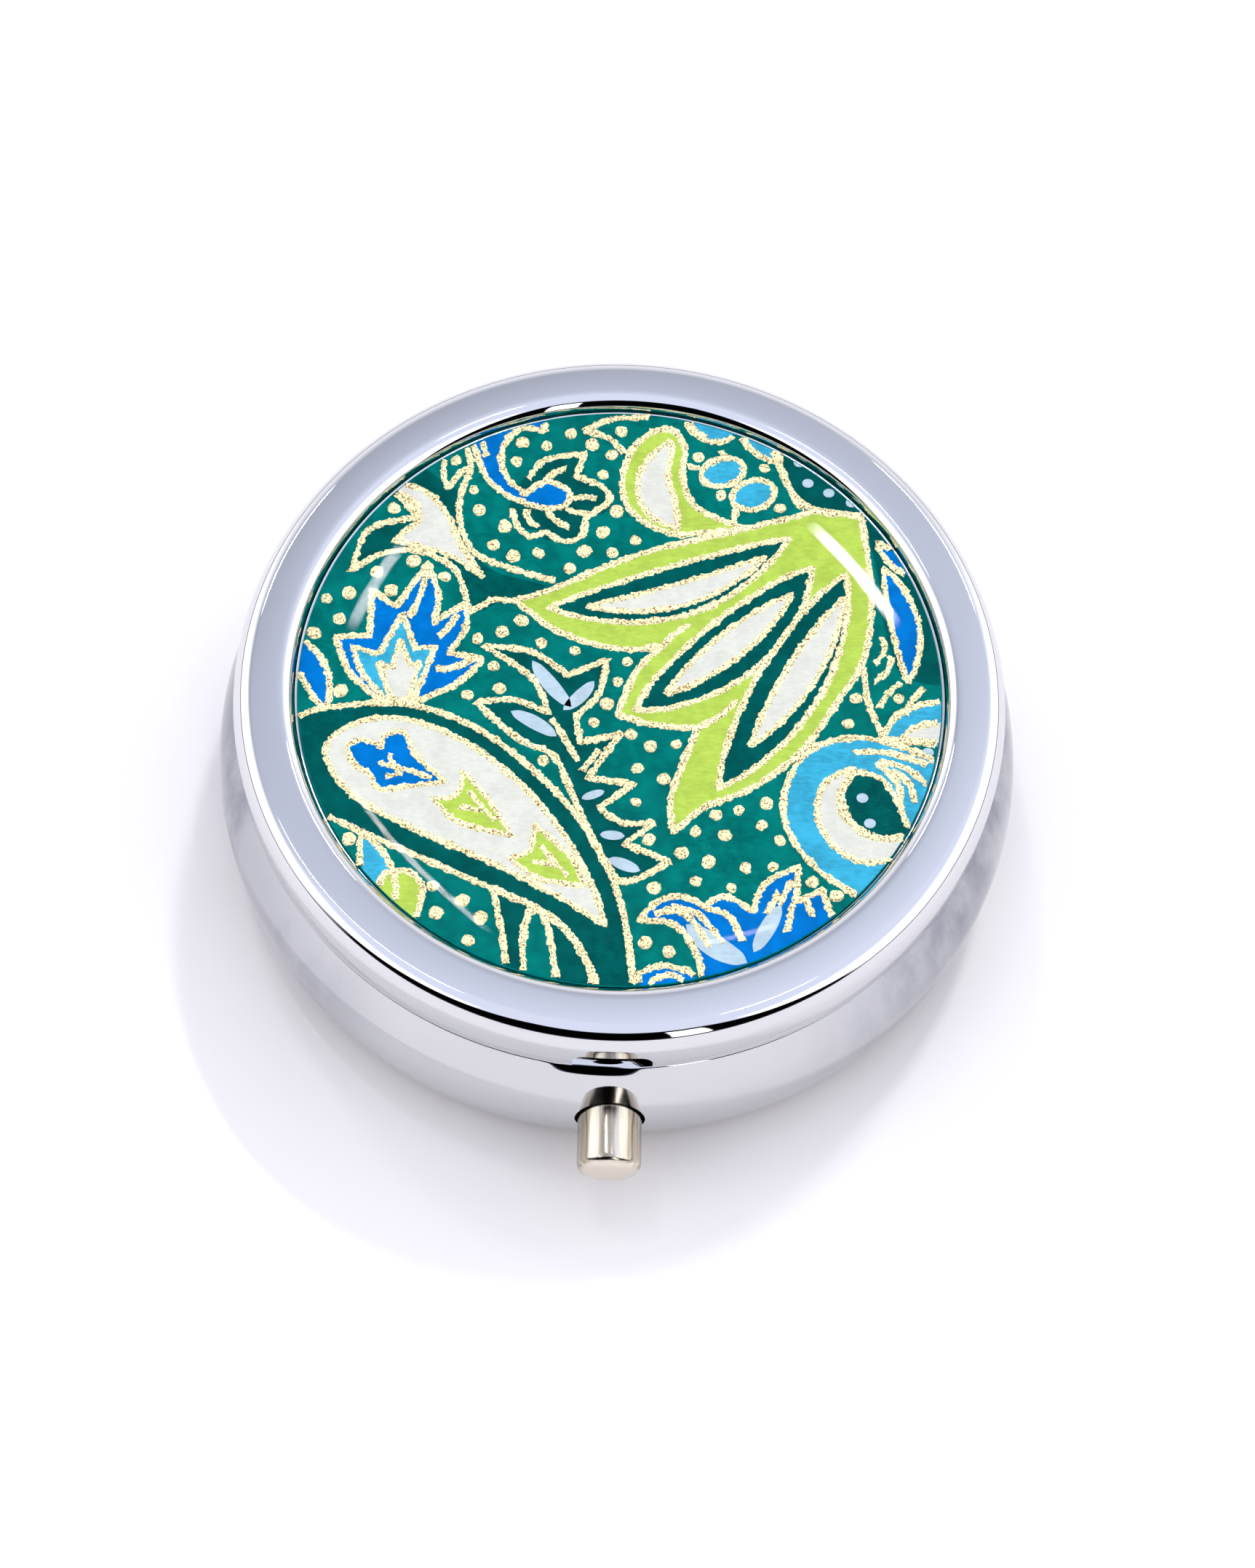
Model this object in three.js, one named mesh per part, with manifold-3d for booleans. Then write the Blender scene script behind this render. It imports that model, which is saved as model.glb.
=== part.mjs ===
// A round push-button pill box: a barrel-shaped metal base with a three-compartment tray, a hinged metal
// lid with a recessed picture under a clear dome, and a sprung front button that frees the lid's hook.
// Millimetres, +Z up. The origin is the centre of the flat underside. -Y is the front, with the button,
// and +Y is the back, with the hinge.

import * as THREE from 'three';
import { mergeVertices } from 'three/addons/utils/BufferGeometryUtils.js';
import Module from 'manifold-3d';

const wasm = await Module();
wasm.setup();

// Driving dimensions.
const ROUND = 72;                 // sides of the large turned shapes
const SMALL = 20;                 // sides of the small turned shapes
const SHEET = 0.45;               // thickness of the plated sheet metal

const BASE_R = 25;                // widest radius of the base
const BASE_WIDEST_Z = 5.9;        // height of that radius
const FLOOR_R = 21.6;             // flat part of the underside
const CORNER_Z = 1.3;             // where the bottom corner runs into the wall
const CORNER_R = 24.0;            // radius there
const SEAM_Z = 10.7;              // top of the base, where the lid meets it
const SHOULDER_ROLL = 0.4;        // rounding of the base's top edge
const SHOULDER_R = 23.75;         // wall radius where that rounding starts
const SHOULDER_IN_R = 22.9;       // inner edge of the turned-in top

const COLLAR_R = 22.7;            // outer radius of the strip the lid closes over
const COLLAR_LOW_Z = 6.4;
const COLLAR_TOP_Z = 13.0;
const COLLAR_WALL = 0.4;

const LID_TOP_Z = 14.8;           // flat of the bezel ring
const LID_ROLL = 0.85;            // outer rounding of the bezel
const BEZEL_R = 23.3;             // outer radius of the bezel
const SKIRT_R = 23.6;             // lower edge of the skirt
const SKIRT_LOW_Z = 10.85;
const BEZEL_IN_ROLL = 0.6;        // inner rounding of the bezel
const WELL_R = 19.95;             // recess that takes the picture
const WELL_FLOOR_Z = 13.85;

const NOTCH_TOP_WIDTH = 3.1;      // thumbnail notch in the skirt
const NOTCH_LOW_WIDTH = 4.7;
const NOTCH_TOP_Z = 12.7;

const PICTURE_R = 19.75;
const PAPER = 0.15;               // thickness of the printed paper
const PAPER_Z = WELL_FLOOR_Z + 0.05;
const DOME_Z = PAPER_Z + PAPER + 0.05;
const DOME_EDGE = 0.4;            // height of the dome at its rim
const DOME_RISE = 1.0;            // further height at its middle
const DOME_POWER = 3;             // a flat middle and a quick fall at the rim

const HINGE_Y = 23.9;
const HINGE_Z = 10.3;
const KNUCKLE_R = 1.0;
const KNUCKLE_BORE_R = 0.55;
const PIN_R = 0.42;
const PIN_HALF = 5.0;
const LEAF = 0.4;                 // thickness of the hinge, latch and hook sheet
const LEAF_HALF = 4.6;            // half the width of the hinge leaves
const MID_KNUCKLE_HALF = 2.3;
const OUTER_KNUCKLE_IN = 2.6;
const HINGE_SLOT_HALF = 5.4;      // room for the hinge in base and lid

const BUTTON_Z = 5.8;
const BUTTON_R = 2.0;
const BUTTON_HOLE_R = 2.2;
const BUTTON_END_Y = -28.4;
const BUTTON_BEVEL = 0.35;
const FLANGE_R = 2.9;
const FLANGE_FRONT_Y = -23.9;
const FLANGE = 0.5;
const STEM_R = 1.1;
const STEM_END_Y = -19.2;

const BRACKET_Y = -20.95;         // middle of the guide bracket's front
const BRACKET_LOW_Z = 3.2;
const BRACKET_MID_Z = 7.1;        // top of its front, under the hook
const BRACKET_TOP_Z = 10.6;       // top of its ears
const PLATE_BACK_Y = -19.8;       // latch plate
const LIP_TIP_Y = -20.3;
const LIP_Z = 8.0;
const SPRING_R = 1.7;             // middle of the wire
const SPRING_WIRE_R = 0.14;
const SPRING_TURNS = 3;

const FLANGE_Z = 12.85;           // underside of the leaf and hook flanges, under the well
const HOOK_HALF = 2.8;
const HOOK_FRONT_Y = -21.6;
const HOOK_LOW_Z = 7.4;
const HOOK_FOOT_Y = -20.5;

const TRAY_R = 21.3;
const TRAY_FLAT_Y = -17.8;        // flat that leaves room for the latch
const TRAY_LOW_Z = 0.55;
const TRAY_TOP_Z = 10.0;
const TRAY_WALL = 0.9;
const POCKET_CORNER = 2.2;

const RIVET_R = 0.45;
const RIVET_HOLE_R = 0.6;
const RIVET_HEAD_R = 0.85;
const RIVET_HEAD = 0.35;

const TURN = 2 * Math.PI;
const box = new THREE.Group();
box.name = 'pill_box';

// ---- helpers

const v2 = (x, y) => new THREE.Vector2(x, y);

function chrome(color = 0xd6dae4, roughness = 0.08) {
  return new THREE.MeshStandardMaterial({ color, roughness, metalness: 1 });
}

function plastic(color, roughness) {
  return new THREE.MeshStandardMaterial({ color, roughness, metalness: 0 });
}

function toSolid(geometry) {
  const bare = geometry.clone();
  for (const name of ['normal', 'uv']) bare.deleteAttribute(name);
  const merged = mergeVertices(bare, 1e-4);
  return new wasm.Manifold(new wasm.Mesh({
    numProp: 3,
    vertProperties: new Float32Array(merged.attributes.position.array),
    triVerts: new Uint32Array(merged.index.array),
  }));
}

function toGeometry(solid) {
  const mesh = solid.getMesh();
  const geometry = new THREE.BufferGeometry();
  geometry.setAttribute('position', new THREE.BufferAttribute(new Float32Array(mesh.vertProperties), 3));
  geometry.setIndex(new THREE.BufferAttribute(new Uint32Array(mesh.triVerts), 1));
  geometry.computeVertexNormals();
  return geometry;
}

function add(name, geometry, material) {
  const mesh = new THREE.Mesh(geometry, material);
  mesh.name = name;
  box.add(mesh);
}

// A turned shape about Z from (radius, height) points.
function turned(points, sides = ROUND) {
  const geometry = new THREE.LatheGeometry(points, sides);
  geometry.rotateX(Math.PI / 2);
  return geometry;
}

// The same about the front-to-back axis: points are (radius, distance towards +Y), at height z.
function turnedAlongY(points, x, z, sides = SMALL) {
  const geometry = new THREE.LatheGeometry(points, sides);
  geometry.translate(x, 0, z);
  return geometry;
}

// A box from its low corner to its high corner.
function block(low, high) {
  const size = high.map((value, i) => value - low[i]);
  const geometry = new THREE.BoxGeometry(...size);
  geometry.translate(...low.map((value, i) => value + size[i] / 2));
  return geometry;
}

// An outline in (y, z), extruded along X from -half to half.
function acrossX(shape, from, to, curveSegments = 12) {
  const geometry = new THREE.ExtrudeGeometry(shape, { depth: to - from, bevelEnabled: false, curveSegments });
  // shape x -> Y, shape y -> Z, depth -> X
  geometry.applyMatrix4(new THREE.Matrix4().makeBasis(
    new THREE.Vector3(0, 1, 0), new THREE.Vector3(0, 0, 1), new THREE.Vector3(1, 0, 0)));
  geometry.translate(from, 0, 0);
  return geometry;
}

// A flat outline in (x, y), extruded up from low to high.
function upwards(shape, low, high, curveSegments = 24) {
  const geometry = new THREE.ExtrudeGeometry(shape, { depth: high - low, bevelEnabled: false, curveSegments });
  geometry.translate(0, 0, low);
  return geometry;
}

function polygon(points) {
  return new THREE.Shape(points.map(([x, y]) => v2(x, y)));
}

function arcPoints(cx, cy, r, from, to, steps) {
  const points = [];
  for (let i = 0; i <= steps; i += 1) {
    const angle = from + (to - from) * i / steps;
    points.push(v2(cx + r * Math.cos(angle), cy + r * Math.sin(angle)));
  }
  return points;
}

// ---- base

// Outer radius of the base's barrel wall at height z.
function wallRadius(z) {
  if (z < BASE_WIDEST_Z) {
    const t = (BASE_WIDEST_Z - z) / (BASE_WIDEST_Z - CORNER_Z);
    return BASE_R - (BASE_R - CORNER_R) * t ** 2.4;
  }
  const t = (z - BASE_WIDEST_Z) / (SEAM_Z - SHOULDER_ROLL - BASE_WIDEST_Z);
  return BASE_R - (BASE_R - SHOULDER_R) * t ** 2.2;
}

function baseShell() {
  const corner = new THREE.QuadraticBezierCurve(v2(FLOOR_R, 0), v2(23.2, 0), v2(CORNER_R, CORNER_Z));
  const wall = [];
  const wallTop = SEAM_Z - SHOULDER_ROLL;
  const steps = 9;
  for (let i = 1; i < steps; i += 1) {
    const z = CORNER_Z + (wallTop - CORNER_Z) * i / steps;
    wall.push(v2(wallRadius(z), z));
  }
  const roll = arcPoints(SHOULDER_R - SHOULDER_ROLL, wallTop, SHOULDER_ROLL, 0, Math.PI / 2, 3);
  const outer = [v2(0, 0), ...corner.getPoints(4), ...wall, ...roll, v2(SHOULDER_IN_R, SEAM_Z)];
  const inner = [
    v2(SHOULDER_IN_R, SEAM_Z - SHEET),
    v2(SHOULDER_R - SHEET - 0.1, SEAM_Z - SHEET),
    ...wall.slice().reverse().map((p) => v2(p.x - SHEET, p.y)),
    v2(CORNER_R - SHEET, CORNER_Z + 0.05),
    v2(FLOOR_R, SHEET),
    v2(0, SHEET),
  ];
  const shell = toSolid(turned([...outer, ...inner]));
  const hole = toSolid(turnedAlongY(
    [v2(0, -27), v2(BUTTON_HOLE_R, -27), v2(BUTTON_HOLE_R, -22), v2(0, -22)], 0, BUTTON_Z, 32));
  const slot = toSolid(block([-HINGE_SLOT_HALF, 21, 9.0], [HINGE_SLOT_HALF, 26, 12]));
  return toGeometry(shell.subtract(hole).subtract(slot));
}

function innerCollar() {
  const low = COLLAR_LOW_Z;
  const inner = COLLAR_R - COLLAR_WALL;
  const strip = toSolid(turned([
    v2(inner, low), v2(COLLAR_R, low), v2(COLLAR_R, COLLAR_TOP_Z - 0.15), v2(COLLAR_R - 0.15, COLLAR_TOP_Z),
    v2(inner, COLLAR_TOP_Z), v2(inner, low),
  ]));
  const latchRelief = toSolid(block([-4.4, -24, 5], [4.4, -20, 9.0]));
  const hingeRelief = toSolid(block([-6.2, 20, 9.2], [6.2, 24, 14]));
  let collar = strip.subtract(latchRelief).subtract(hingeRelief);
  for (const side of [-1, 1]) {
    collar = collar.subtract(alongYHole(side * HINGE_RIVET.x, HINGE_RIVET.z, 21, 24));
    collar = collar.subtract(toSolid(bracketRivetTool(side)));
  }
  return toGeometry(collar);
}

// ---- rivets

const HINGE_RIVET = { x: 2.6, z: 7.7, low: 21.6, high: 23.72 };
const LID_RIVET = { x: 2.6, y: 18.4, low: 12.4, high: 13.8 };
const HOOK_RIVET = { x: 1.5, y: -18.6 };
const BRACKET_RIVET = { turn: 18.4 * Math.PI / 180, z: 9.2, low: -23.2, high: -21.0 };

function rivetProfile(low, high, headAtBothEnds) {
  const head = RIVET_HEAD_R;
  const points = [v2(0, low), v2(head * 0.7, low), v2(head, low + 0.15), v2(head, low + RIVET_HEAD),
    v2(RIVET_R, low + RIVET_HEAD)];
  if (headAtBothEnds) {
    points.push(v2(RIVET_R, high - RIVET_HEAD), v2(head, high - RIVET_HEAD), v2(head, high - 0.15),
      v2(head * 0.7, high), v2(0, high));
  } else {
    points.push(v2(RIVET_R, high), v2(0, high));
  }
  return points;
}

function alongYHole(x, z, from, to) {
  return toSolid(turnedAlongY(
    [v2(0, from), v2(RIVET_HOLE_R, from), v2(RIVET_HOLE_R, to), v2(0, to)], x, z, 16));
}

function upHole(x, y, from, to) {
  const geometry = turned([v2(0, from), v2(RIVET_HOLE_R, from), v2(RIVET_HOLE_R, to), v2(0, to)], 16);
  geometry.translate(x, y, 0);
  return toSolid(geometry);
}

function bracketRivetTool(side) {
  const geometry = turnedAlongY(
    [v2(0, -24), v2(RIVET_HOLE_R, -24), v2(RIVET_HOLE_R, -19), v2(0, -19)], 0, BRACKET_RIVET.z, 16);
  geometry.rotateZ(side * BRACKET_RIVET.turn);
  return geometry;
}

// ---- hinge

function knuckle(from, to) {
  const ring = new THREE.Shape();
  ring.absarc(HINGE_Y, HINGE_Z, KNUCKLE_R, 0, TURN, false);
  return toSolid(acrossX(ring, from, to, 16));
}

function pinBore() {
  const ring = new THREE.Shape();
  ring.absarc(HINGE_Y, HINGE_Z, KNUCKLE_BORE_R, 0, TURN, false);
  return toSolid(acrossX(ring, -6, 6, 12));
}

function baseHingeLeaf() {
  const front = HINGE_Y - KNUCKLE_R;
  let leaf = toSolid(block([-LEAF_HALF, front, 6.7], [LEAF_HALF, front + LEAF, 9.0]));
  for (const side of [-1, 1]) {
    const [from, to] = [side * OUTER_KNUCKLE_IN, side * LEAF_HALF].sort((a, b) => a - b);
    leaf = leaf.add(toSolid(block([from, front, 8.9], [to, front + LEAF, HINGE_Z])));
    leaf = leaf.add(knuckle(from, to));
  }
  leaf = leaf.subtract(pinBore());
  for (const side of [-1, 1]) {
    leaf = leaf.subtract(alongYHole(side * HINGE_RIVET.x, HINGE_RIVET.z, 22, 24));
  }
  return toGeometry(leaf);
}

function lidHingeLeaf() {
  const standing = 21.95;         // front face of the upright part
  const webTop = HINGE_Z + KNUCKLE_R;
  let leaf = toSolid(block([-LEAF_HALF, standing, webTop - LEAF], [LEAF_HALF, standing + LEAF, FLANGE_Z + LEAF]));
  leaf = leaf.add(toSolid(block([-LEAF_HALF, 17.2, FLANGE_Z], [LEAF_HALF, standing + LEAF, FLANGE_Z + LEAF])));
  leaf = leaf.add(toSolid(block(
    [-MID_KNUCKLE_HALF, standing, webTop - LEAF], [MID_KNUCKLE_HALF, HINGE_Y, webTop])));
  leaf = leaf.add(knuckle(-MID_KNUCKLE_HALF, MID_KNUCKLE_HALF)).subtract(pinBore());
  for (const side of [-1, 1]) leaf = leaf.subtract(upHole(side * LID_RIVET.x, LID_RIVET.y, 12, 14));
  return toGeometry(leaf);
}

function hingePin() {
  const geometry = new THREE.LatheGeometry([
    v2(0, -PIN_HALF), v2(PIN_R * 0.7, -PIN_HALF), v2(PIN_R, -PIN_HALF + 0.15),
    v2(PIN_R, PIN_HALF - 0.15), v2(PIN_R * 0.7, PIN_HALF), v2(0, PIN_HALF),
  ], 16);
  geometry.rotateZ(-Math.PI / 2);
  geometry.translate(0, HINGE_Y, HINGE_Z);
  return geometry;
}

// ---- latch

function pushButton() {
  const end = BUTTON_END_Y;
  const back = FLANGE_FRONT_Y + FLANGE;
  return turnedAlongY([
    v2(0, end), v2(1.0, end + 0.05), v2(BUTTON_R - BUTTON_BEVEL, end + 0.18), v2(BUTTON_R - 0.1, end + 0.35),
    v2(BUTTON_R, end + 0.6), v2(BUTTON_R, FLANGE_FRONT_Y), v2(FLANGE_R, FLANGE_FRONT_Y), v2(FLANGE_R, back),
    v2(STEM_R, back), v2(STEM_R, STEM_END_Y), v2(0, STEM_END_Y),
  ], 0, BUTTON_Z, 32);
}

function latchPlate() {
  const front = PLATE_BACK_Y - LEAF;
  let plate = toSolid(block([-2.6, front, 4.2], [2.6, PLATE_BACK_Y, LIP_Z + LEAF]));
  plate = plate.add(toSolid(block([-2.0, LIP_TIP_Y, LIP_Z], [2.0, PLATE_BACK_Y, LIP_Z + LEAF])));
  const bore = STEM_R + 0.08;
  return toGeometry(plate.subtract(toSolid(turnedAlongY(
    [v2(0, -22), v2(bore, -22), v2(bore, -18), v2(0, -18)], 0, BUTTON_Z))));
}

// A spring clip, open at the bottom, that holds the latch plate on the stem.
function stemClip() {
  const [inner, outer, low, high] = [STEM_R + 0.08, 1.85, PLATE_BACK_Y + 0.1, PLATE_BACK_Y + 0.4];
  const ring = toSolid(turnedAlongY(
    [v2(inner, low), v2(outer, low), v2(outer, high), v2(inner, high), v2(inner, low)], 0, BUTTON_Z, 24));
  return toGeometry(ring.subtract(toSolid(block([-0.8, -20, 3], [0.8, -19, BUTTON_Z]))));
}

function latchSpring() {
  const from = FLANGE_FRONT_Y + FLANGE + SPRING_WIRE_R + 0.05;
  const to = BRACKET_Y - LEAF / 2 - SPRING_WIRE_R - 0.05;
  class Coil extends THREE.Curve {
    getPoint(t) {
      const angle = t * TURN * SPRING_TURNS;
      return new THREE.Vector3(
        SPRING_R * Math.cos(angle), from + (to - from) * t, BUTTON_Z + SPRING_R * Math.sin(angle));
    }
  }
  const wire = new THREE.Shape();
  wire.absarc(0, 0, SPRING_WIRE_R, 0, TURN, false);
  return new THREE.ExtrudeGeometry(wire, {
    steps: 14 * SPRING_TURNS, extrudePath: new Coil(), bevelEnabled: false, curveSegments: 4,
  });
}

// A bent strip across the front of the base, with an ear at each end riveted to the collar.
function latchBracket() {
  const half = LEAF / 2;
  const [bend, reach, back] = [5.4, 8.6, 0.98];
  const plan = polygon([
    [-bend, BRACKET_Y - half], [bend, BRACKET_Y - half], [reach, BRACKET_Y + back - half],
    [reach - 0.12, BRACKET_Y + back + half], [bend - 0.06, BRACKET_Y + half], [-bend + 0.06, BRACKET_Y + half],
    [-reach + 0.12, BRACKET_Y + back + half], [-reach, BRACKET_Y + back - half],
  ]);
  let bracket = toSolid(upwards(plan, BRACKET_LOW_Z, BRACKET_TOP_Z));
  bracket = bracket.subtract(toSolid(block([-4.9, -22, BRACKET_MID_Z], [4.9, -19, 12])));
  const bore = STEM_R + 0.25;
  bracket = bracket.subtract(toSolid(turnedAlongY(
    [v2(0, -22), v2(bore, -22), v2(bore, -19), v2(0, -19)], 0, BUTTON_Z)));
  for (const side of [-1, 1]) {
    const [from, to] = [side * 6.0, side * 9].sort((a, b) => a - b);
    bracket = bracket.subtract(toSolid(block([from, -22, 2], [to, -18, 8.0])));
    bracket = bracket.subtract(toSolid(bracketRivetTool(side)));
  }
  return toGeometry(bracket);
}

function bracketRivet(side) {
  const { turn, z, low, high } = BRACKET_RIVET;
  const geometry = turnedAlongY(rivetProfile(low, high, true), 0, z);
  geometry.rotateZ(side * turn);
  return geometry;
}

// ---- lid

function lidShell() {
  const wellTop = LID_TOP_Z - BEZEL_IN_ROLL;
  const outerRoll = arcPoints(BEZEL_R - LID_ROLL, LID_TOP_Z - LID_ROLL, LID_ROLL, Math.PI / 2, 0, 5);
  const innerRoll = arcPoints(WELL_R + BEZEL_IN_ROLL, wellTop, BEZEL_IN_ROLL, Math.PI, Math.PI / 2, 4);
  const under = LID_TOP_Z - SHEET;
  const profile = [
    v2(0, WELL_FLOOR_Z - SHEET), v2(WELL_R + SHEET - 0.15, WELL_FLOOR_Z - SHEET),
    v2(WELL_R + SHEET, WELL_FLOOR_Z - SHEET + 0.15), v2(WELL_R + SHEET, wellTop),
    v2(WELL_R + BEZEL_IN_ROLL + 0.1, under), v2(BEZEL_R - LID_ROLL, under),
    v2(BEZEL_R - SHEET - 0.1, LID_TOP_Z - LID_ROLL + 0.1), v2(BEZEL_R - SHEET, LID_TOP_Z - LID_ROLL - 0.3),
    v2(SKIRT_R - SHEET, SKIRT_LOW_Z), v2(SKIRT_R, SKIRT_LOW_Z),
    v2(BEZEL_R + 0.14, 12.4),
    ...outerRoll.reverse(), ...innerRoll.reverse(),
    v2(WELL_R, WELL_FLOOR_Z), v2(0, WELL_FLOOR_Z),
  ];
  let shell = toSolid(turned(profile));
  const [top, low] = [NOTCH_TOP_WIDTH / 2, NOTCH_LOW_WIDTH / 2];
  const notch = polygon([[-low, SKIRT_LOW_Z - 1], [low, SKIRT_LOW_Z - 1], [low, SKIRT_LOW_Z],
    [low * 0.93, SKIRT_LOW_Z + 0.9], [top, NOTCH_TOP_Z], [-top, NOTCH_TOP_Z],
    [-low * 0.93, SKIRT_LOW_Z + 0.9], [-low, SKIRT_LOW_Z]]);
  const tool = new THREE.ExtrudeGeometry(notch, { depth: 4, bevelEnabled: false });
  tool.rotateX(Math.PI / 2);
  tool.translate(0, -21, 0);
  shell = shell.subtract(toSolid(tool));
  shell = shell.subtract(toSolid(block([-HINGE_SLOT_HALF, 21, 9], [HINGE_SLOT_HALF, 26, 11.7])));
  for (const side of [-1, 1]) {
    shell = shell.subtract(upHole(side * LID_RIVET.x, LID_RIVET.y, 13, 14.5));
    shell = shell.subtract(upHole(side * HOOK_RIVET.x, HOOK_RIVET.y, 13, 14.5));
  }
  return toGeometry(shell);
}

function pictureDisc() {
  return turned([v2(0, PAPER_Z), v2(PICTURE_R, PAPER_Z), v2(PICTURE_R, PAPER_Z + PAPER), v2(0, PAPER_Z + PAPER)]);
}

function clearDome() {
  const rim = DOME_Z + DOME_EDGE;
  const points = [v2(0, DOME_Z), v2(PICTURE_R - 0.1, DOME_Z), v2(PICTURE_R, DOME_Z + 0.1)];
  for (const share of [1, 0.985, 0.95, 0.88, 0.78, 0.65, 0.5, 0.3]) {
    points.push(v2(PICTURE_R * share, rim + DOME_RISE * (1 - share ** DOME_POWER)));
  }
  return turned([...points, v2(0, rim + DOME_RISE)]);
}

function catchHook() {
  const back = HOOK_FRONT_Y + LEAF;
  let hook = toSolid(block([-HOOK_HALF, HOOK_FRONT_Y, HOOK_LOW_Z], [HOOK_HALF, back, FLANGE_Z + LEAF]));
  hook = hook.add(toSolid(block([-HOOK_HALF, HOOK_FRONT_Y, FLANGE_Z], [HOOK_HALF, -17.4, FLANGE_Z + LEAF])));
  hook = hook.add(toSolid(block([-HOOK_HALF, HOOK_FRONT_Y, HOOK_LOW_Z], [HOOK_HALF, HOOK_FOOT_Y, HOOK_LOW_Z + LEAF])));
  for (const side of [-1, 1]) hook = hook.subtract(upHole(side * HOOK_RIVET.x, HOOK_RIVET.y, 12, 14));
  return toGeometry(hook);
}

// ---- tray

// One compartment's outline: a third of a circle between two dividers, with rounded corners.
function pocket(middle) {
  const half = Math.PI / 3;
  const r = TRAY_R - TRAY_WALL;
  const offset = TRAY_WALL / 2;
  const apex = offset / Math.sin(half);
  const skew = Math.asin(offset / r);
  const trim = POCKET_CORNER / r;
  const at = (radius, angle) => [radius * Math.cos(angle), radius * Math.sin(angle)];
  const along = (side, distance) => {
    const [x, y] = at(apex, middle);
    const [dx, dy] = at(distance, middle + side * half);
    return [x + dx, y + dy];
  };
  const shape = new THREE.Shape();
  shape.moveTo(...along(-1, POCKET_CORNER));
  shape.lineTo(...along(-1, r - apex / 2 - POCKET_CORNER));
  shape.quadraticCurveTo(...at(r, middle - half + skew), ...at(r, middle - half + skew + trim));
  const sweep = 2 * (half - skew - trim);
  for (let i = 1; i <= 14; i += 1) shape.lineTo(...at(r, middle - sweep / 2 + sweep * i / 14));
  shape.quadraticCurveTo(...at(r, middle + half - skew), ...along(1, r - apex / 2 - POCKET_CORNER));
  shape.lineTo(...along(1, POCKET_CORNER));
  shape.quadraticCurveTo(...at(apex, middle), ...along(-1, POCKET_CORNER));
  return upwards(shape, TRAY_LOW_Z + TRAY_WALL, TRAY_TOP_Z + 1, 5);
}

function compartmentTray() {
  const edge = 0.3;
  let tray = toSolid(turned([
    v2(0, TRAY_LOW_Z), v2(TRAY_R - 0.8, TRAY_LOW_Z), v2(TRAY_R - 0.1, TRAY_LOW_Z + 0.7),
    v2(TRAY_R, TRAY_TOP_Z - edge), v2(TRAY_R - edge, TRAY_TOP_Z), v2(0, TRAY_TOP_Z),
  ]));
  tray = tray.subtract(toSolid(block([-20, -25, 0], [20, TRAY_FLAT_Y, 12])));
  const front = toSolid(pocket(-Math.PI / 2)).subtract(
    toSolid(block([-20, -25, 0], [20, TRAY_FLAT_Y + TRAY_WALL, 12])));
  tray = tray.subtract(front);
  for (const middle of [Math.PI / 6, 5 * Math.PI / 6]) tray = tray.subtract(toSolid(pocket(middle)));
  return toGeometry(tray);
}

// ---- assembly

const plated = chrome();
const steel = chrome(0xb9b6ae, 0.3);
const nickel = chrome(0xcfc6b4, 0.2);

add('base_shell', baseShell(), plated);
add('inner_collar', innerCollar(), plated);
add('compartment_tray', compartmentTray(), plastic(0xf2f1ec, 0.4));
add('base_hinge_leaf', baseHingeLeaf(), plated);
add('hinge_pin', hingePin(), steel);
add('latch_bracket', latchBracket(), steel);
add('latch_spring', latchSpring(), steel);

add('push_button', pushButton(), nickel);
add('latch_plate', latchPlate(), steel);
add('stem_clip', stemClip(), steel);

add('lid_shell', lidShell(), plated);
add('picture_disc', pictureDisc(), plastic(0x11695c, 0.6));
add('clear_dome', clearDome(), plastic(0xd8eef0, 0.03));
add('lid_hinge_leaf', lidHingeLeaf(), plated);
add('catch_hook', catchHook(), steel);

for (const [label, side] of [['left', -1], ['right', 1]]) {
  add(`base_hinge_rivet_${label}`, turnedAlongY(
    rivetProfile(HINGE_RIVET.low, HINGE_RIVET.high, true), side * HINGE_RIVET.x, HINGE_RIVET.z), steel);
  add(`bracket_rivet_${label}`, bracketRivet(side), steel);
  for (const [name, { x }, y] of [['lid_hinge_rivet', LID_RIVET, LID_RIVET.y],
    ['catch_hook_rivet', HOOK_RIVET, HOOK_RIVET.y]]) {
    const rivet = turned(rivetProfile(LID_RIVET.low, LID_RIVET.high, false), SMALL);
    rivet.translate(side * x, y, 0);
    add(`${name}_${label}`, rivet, steel);
  }
}

export default box;
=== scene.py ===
"""A round push-button pill box: plated metalwork, a printed paisley paper under a clear resin dome,
a divided tray inside, and the plain pale studio that it stands in.

Lengths are in millimetres until a piece is placed, and in metres in the finished meshes.
"""

import logging
import math
import random
from dataclasses import dataclass, field
from enum import Enum
from typing import Callable, Iterable, Sequence

import bmesh
import bpy
from mathutils import Matrix, Quaternion, Vector
from mathutils.kdtree import KDTree


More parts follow.
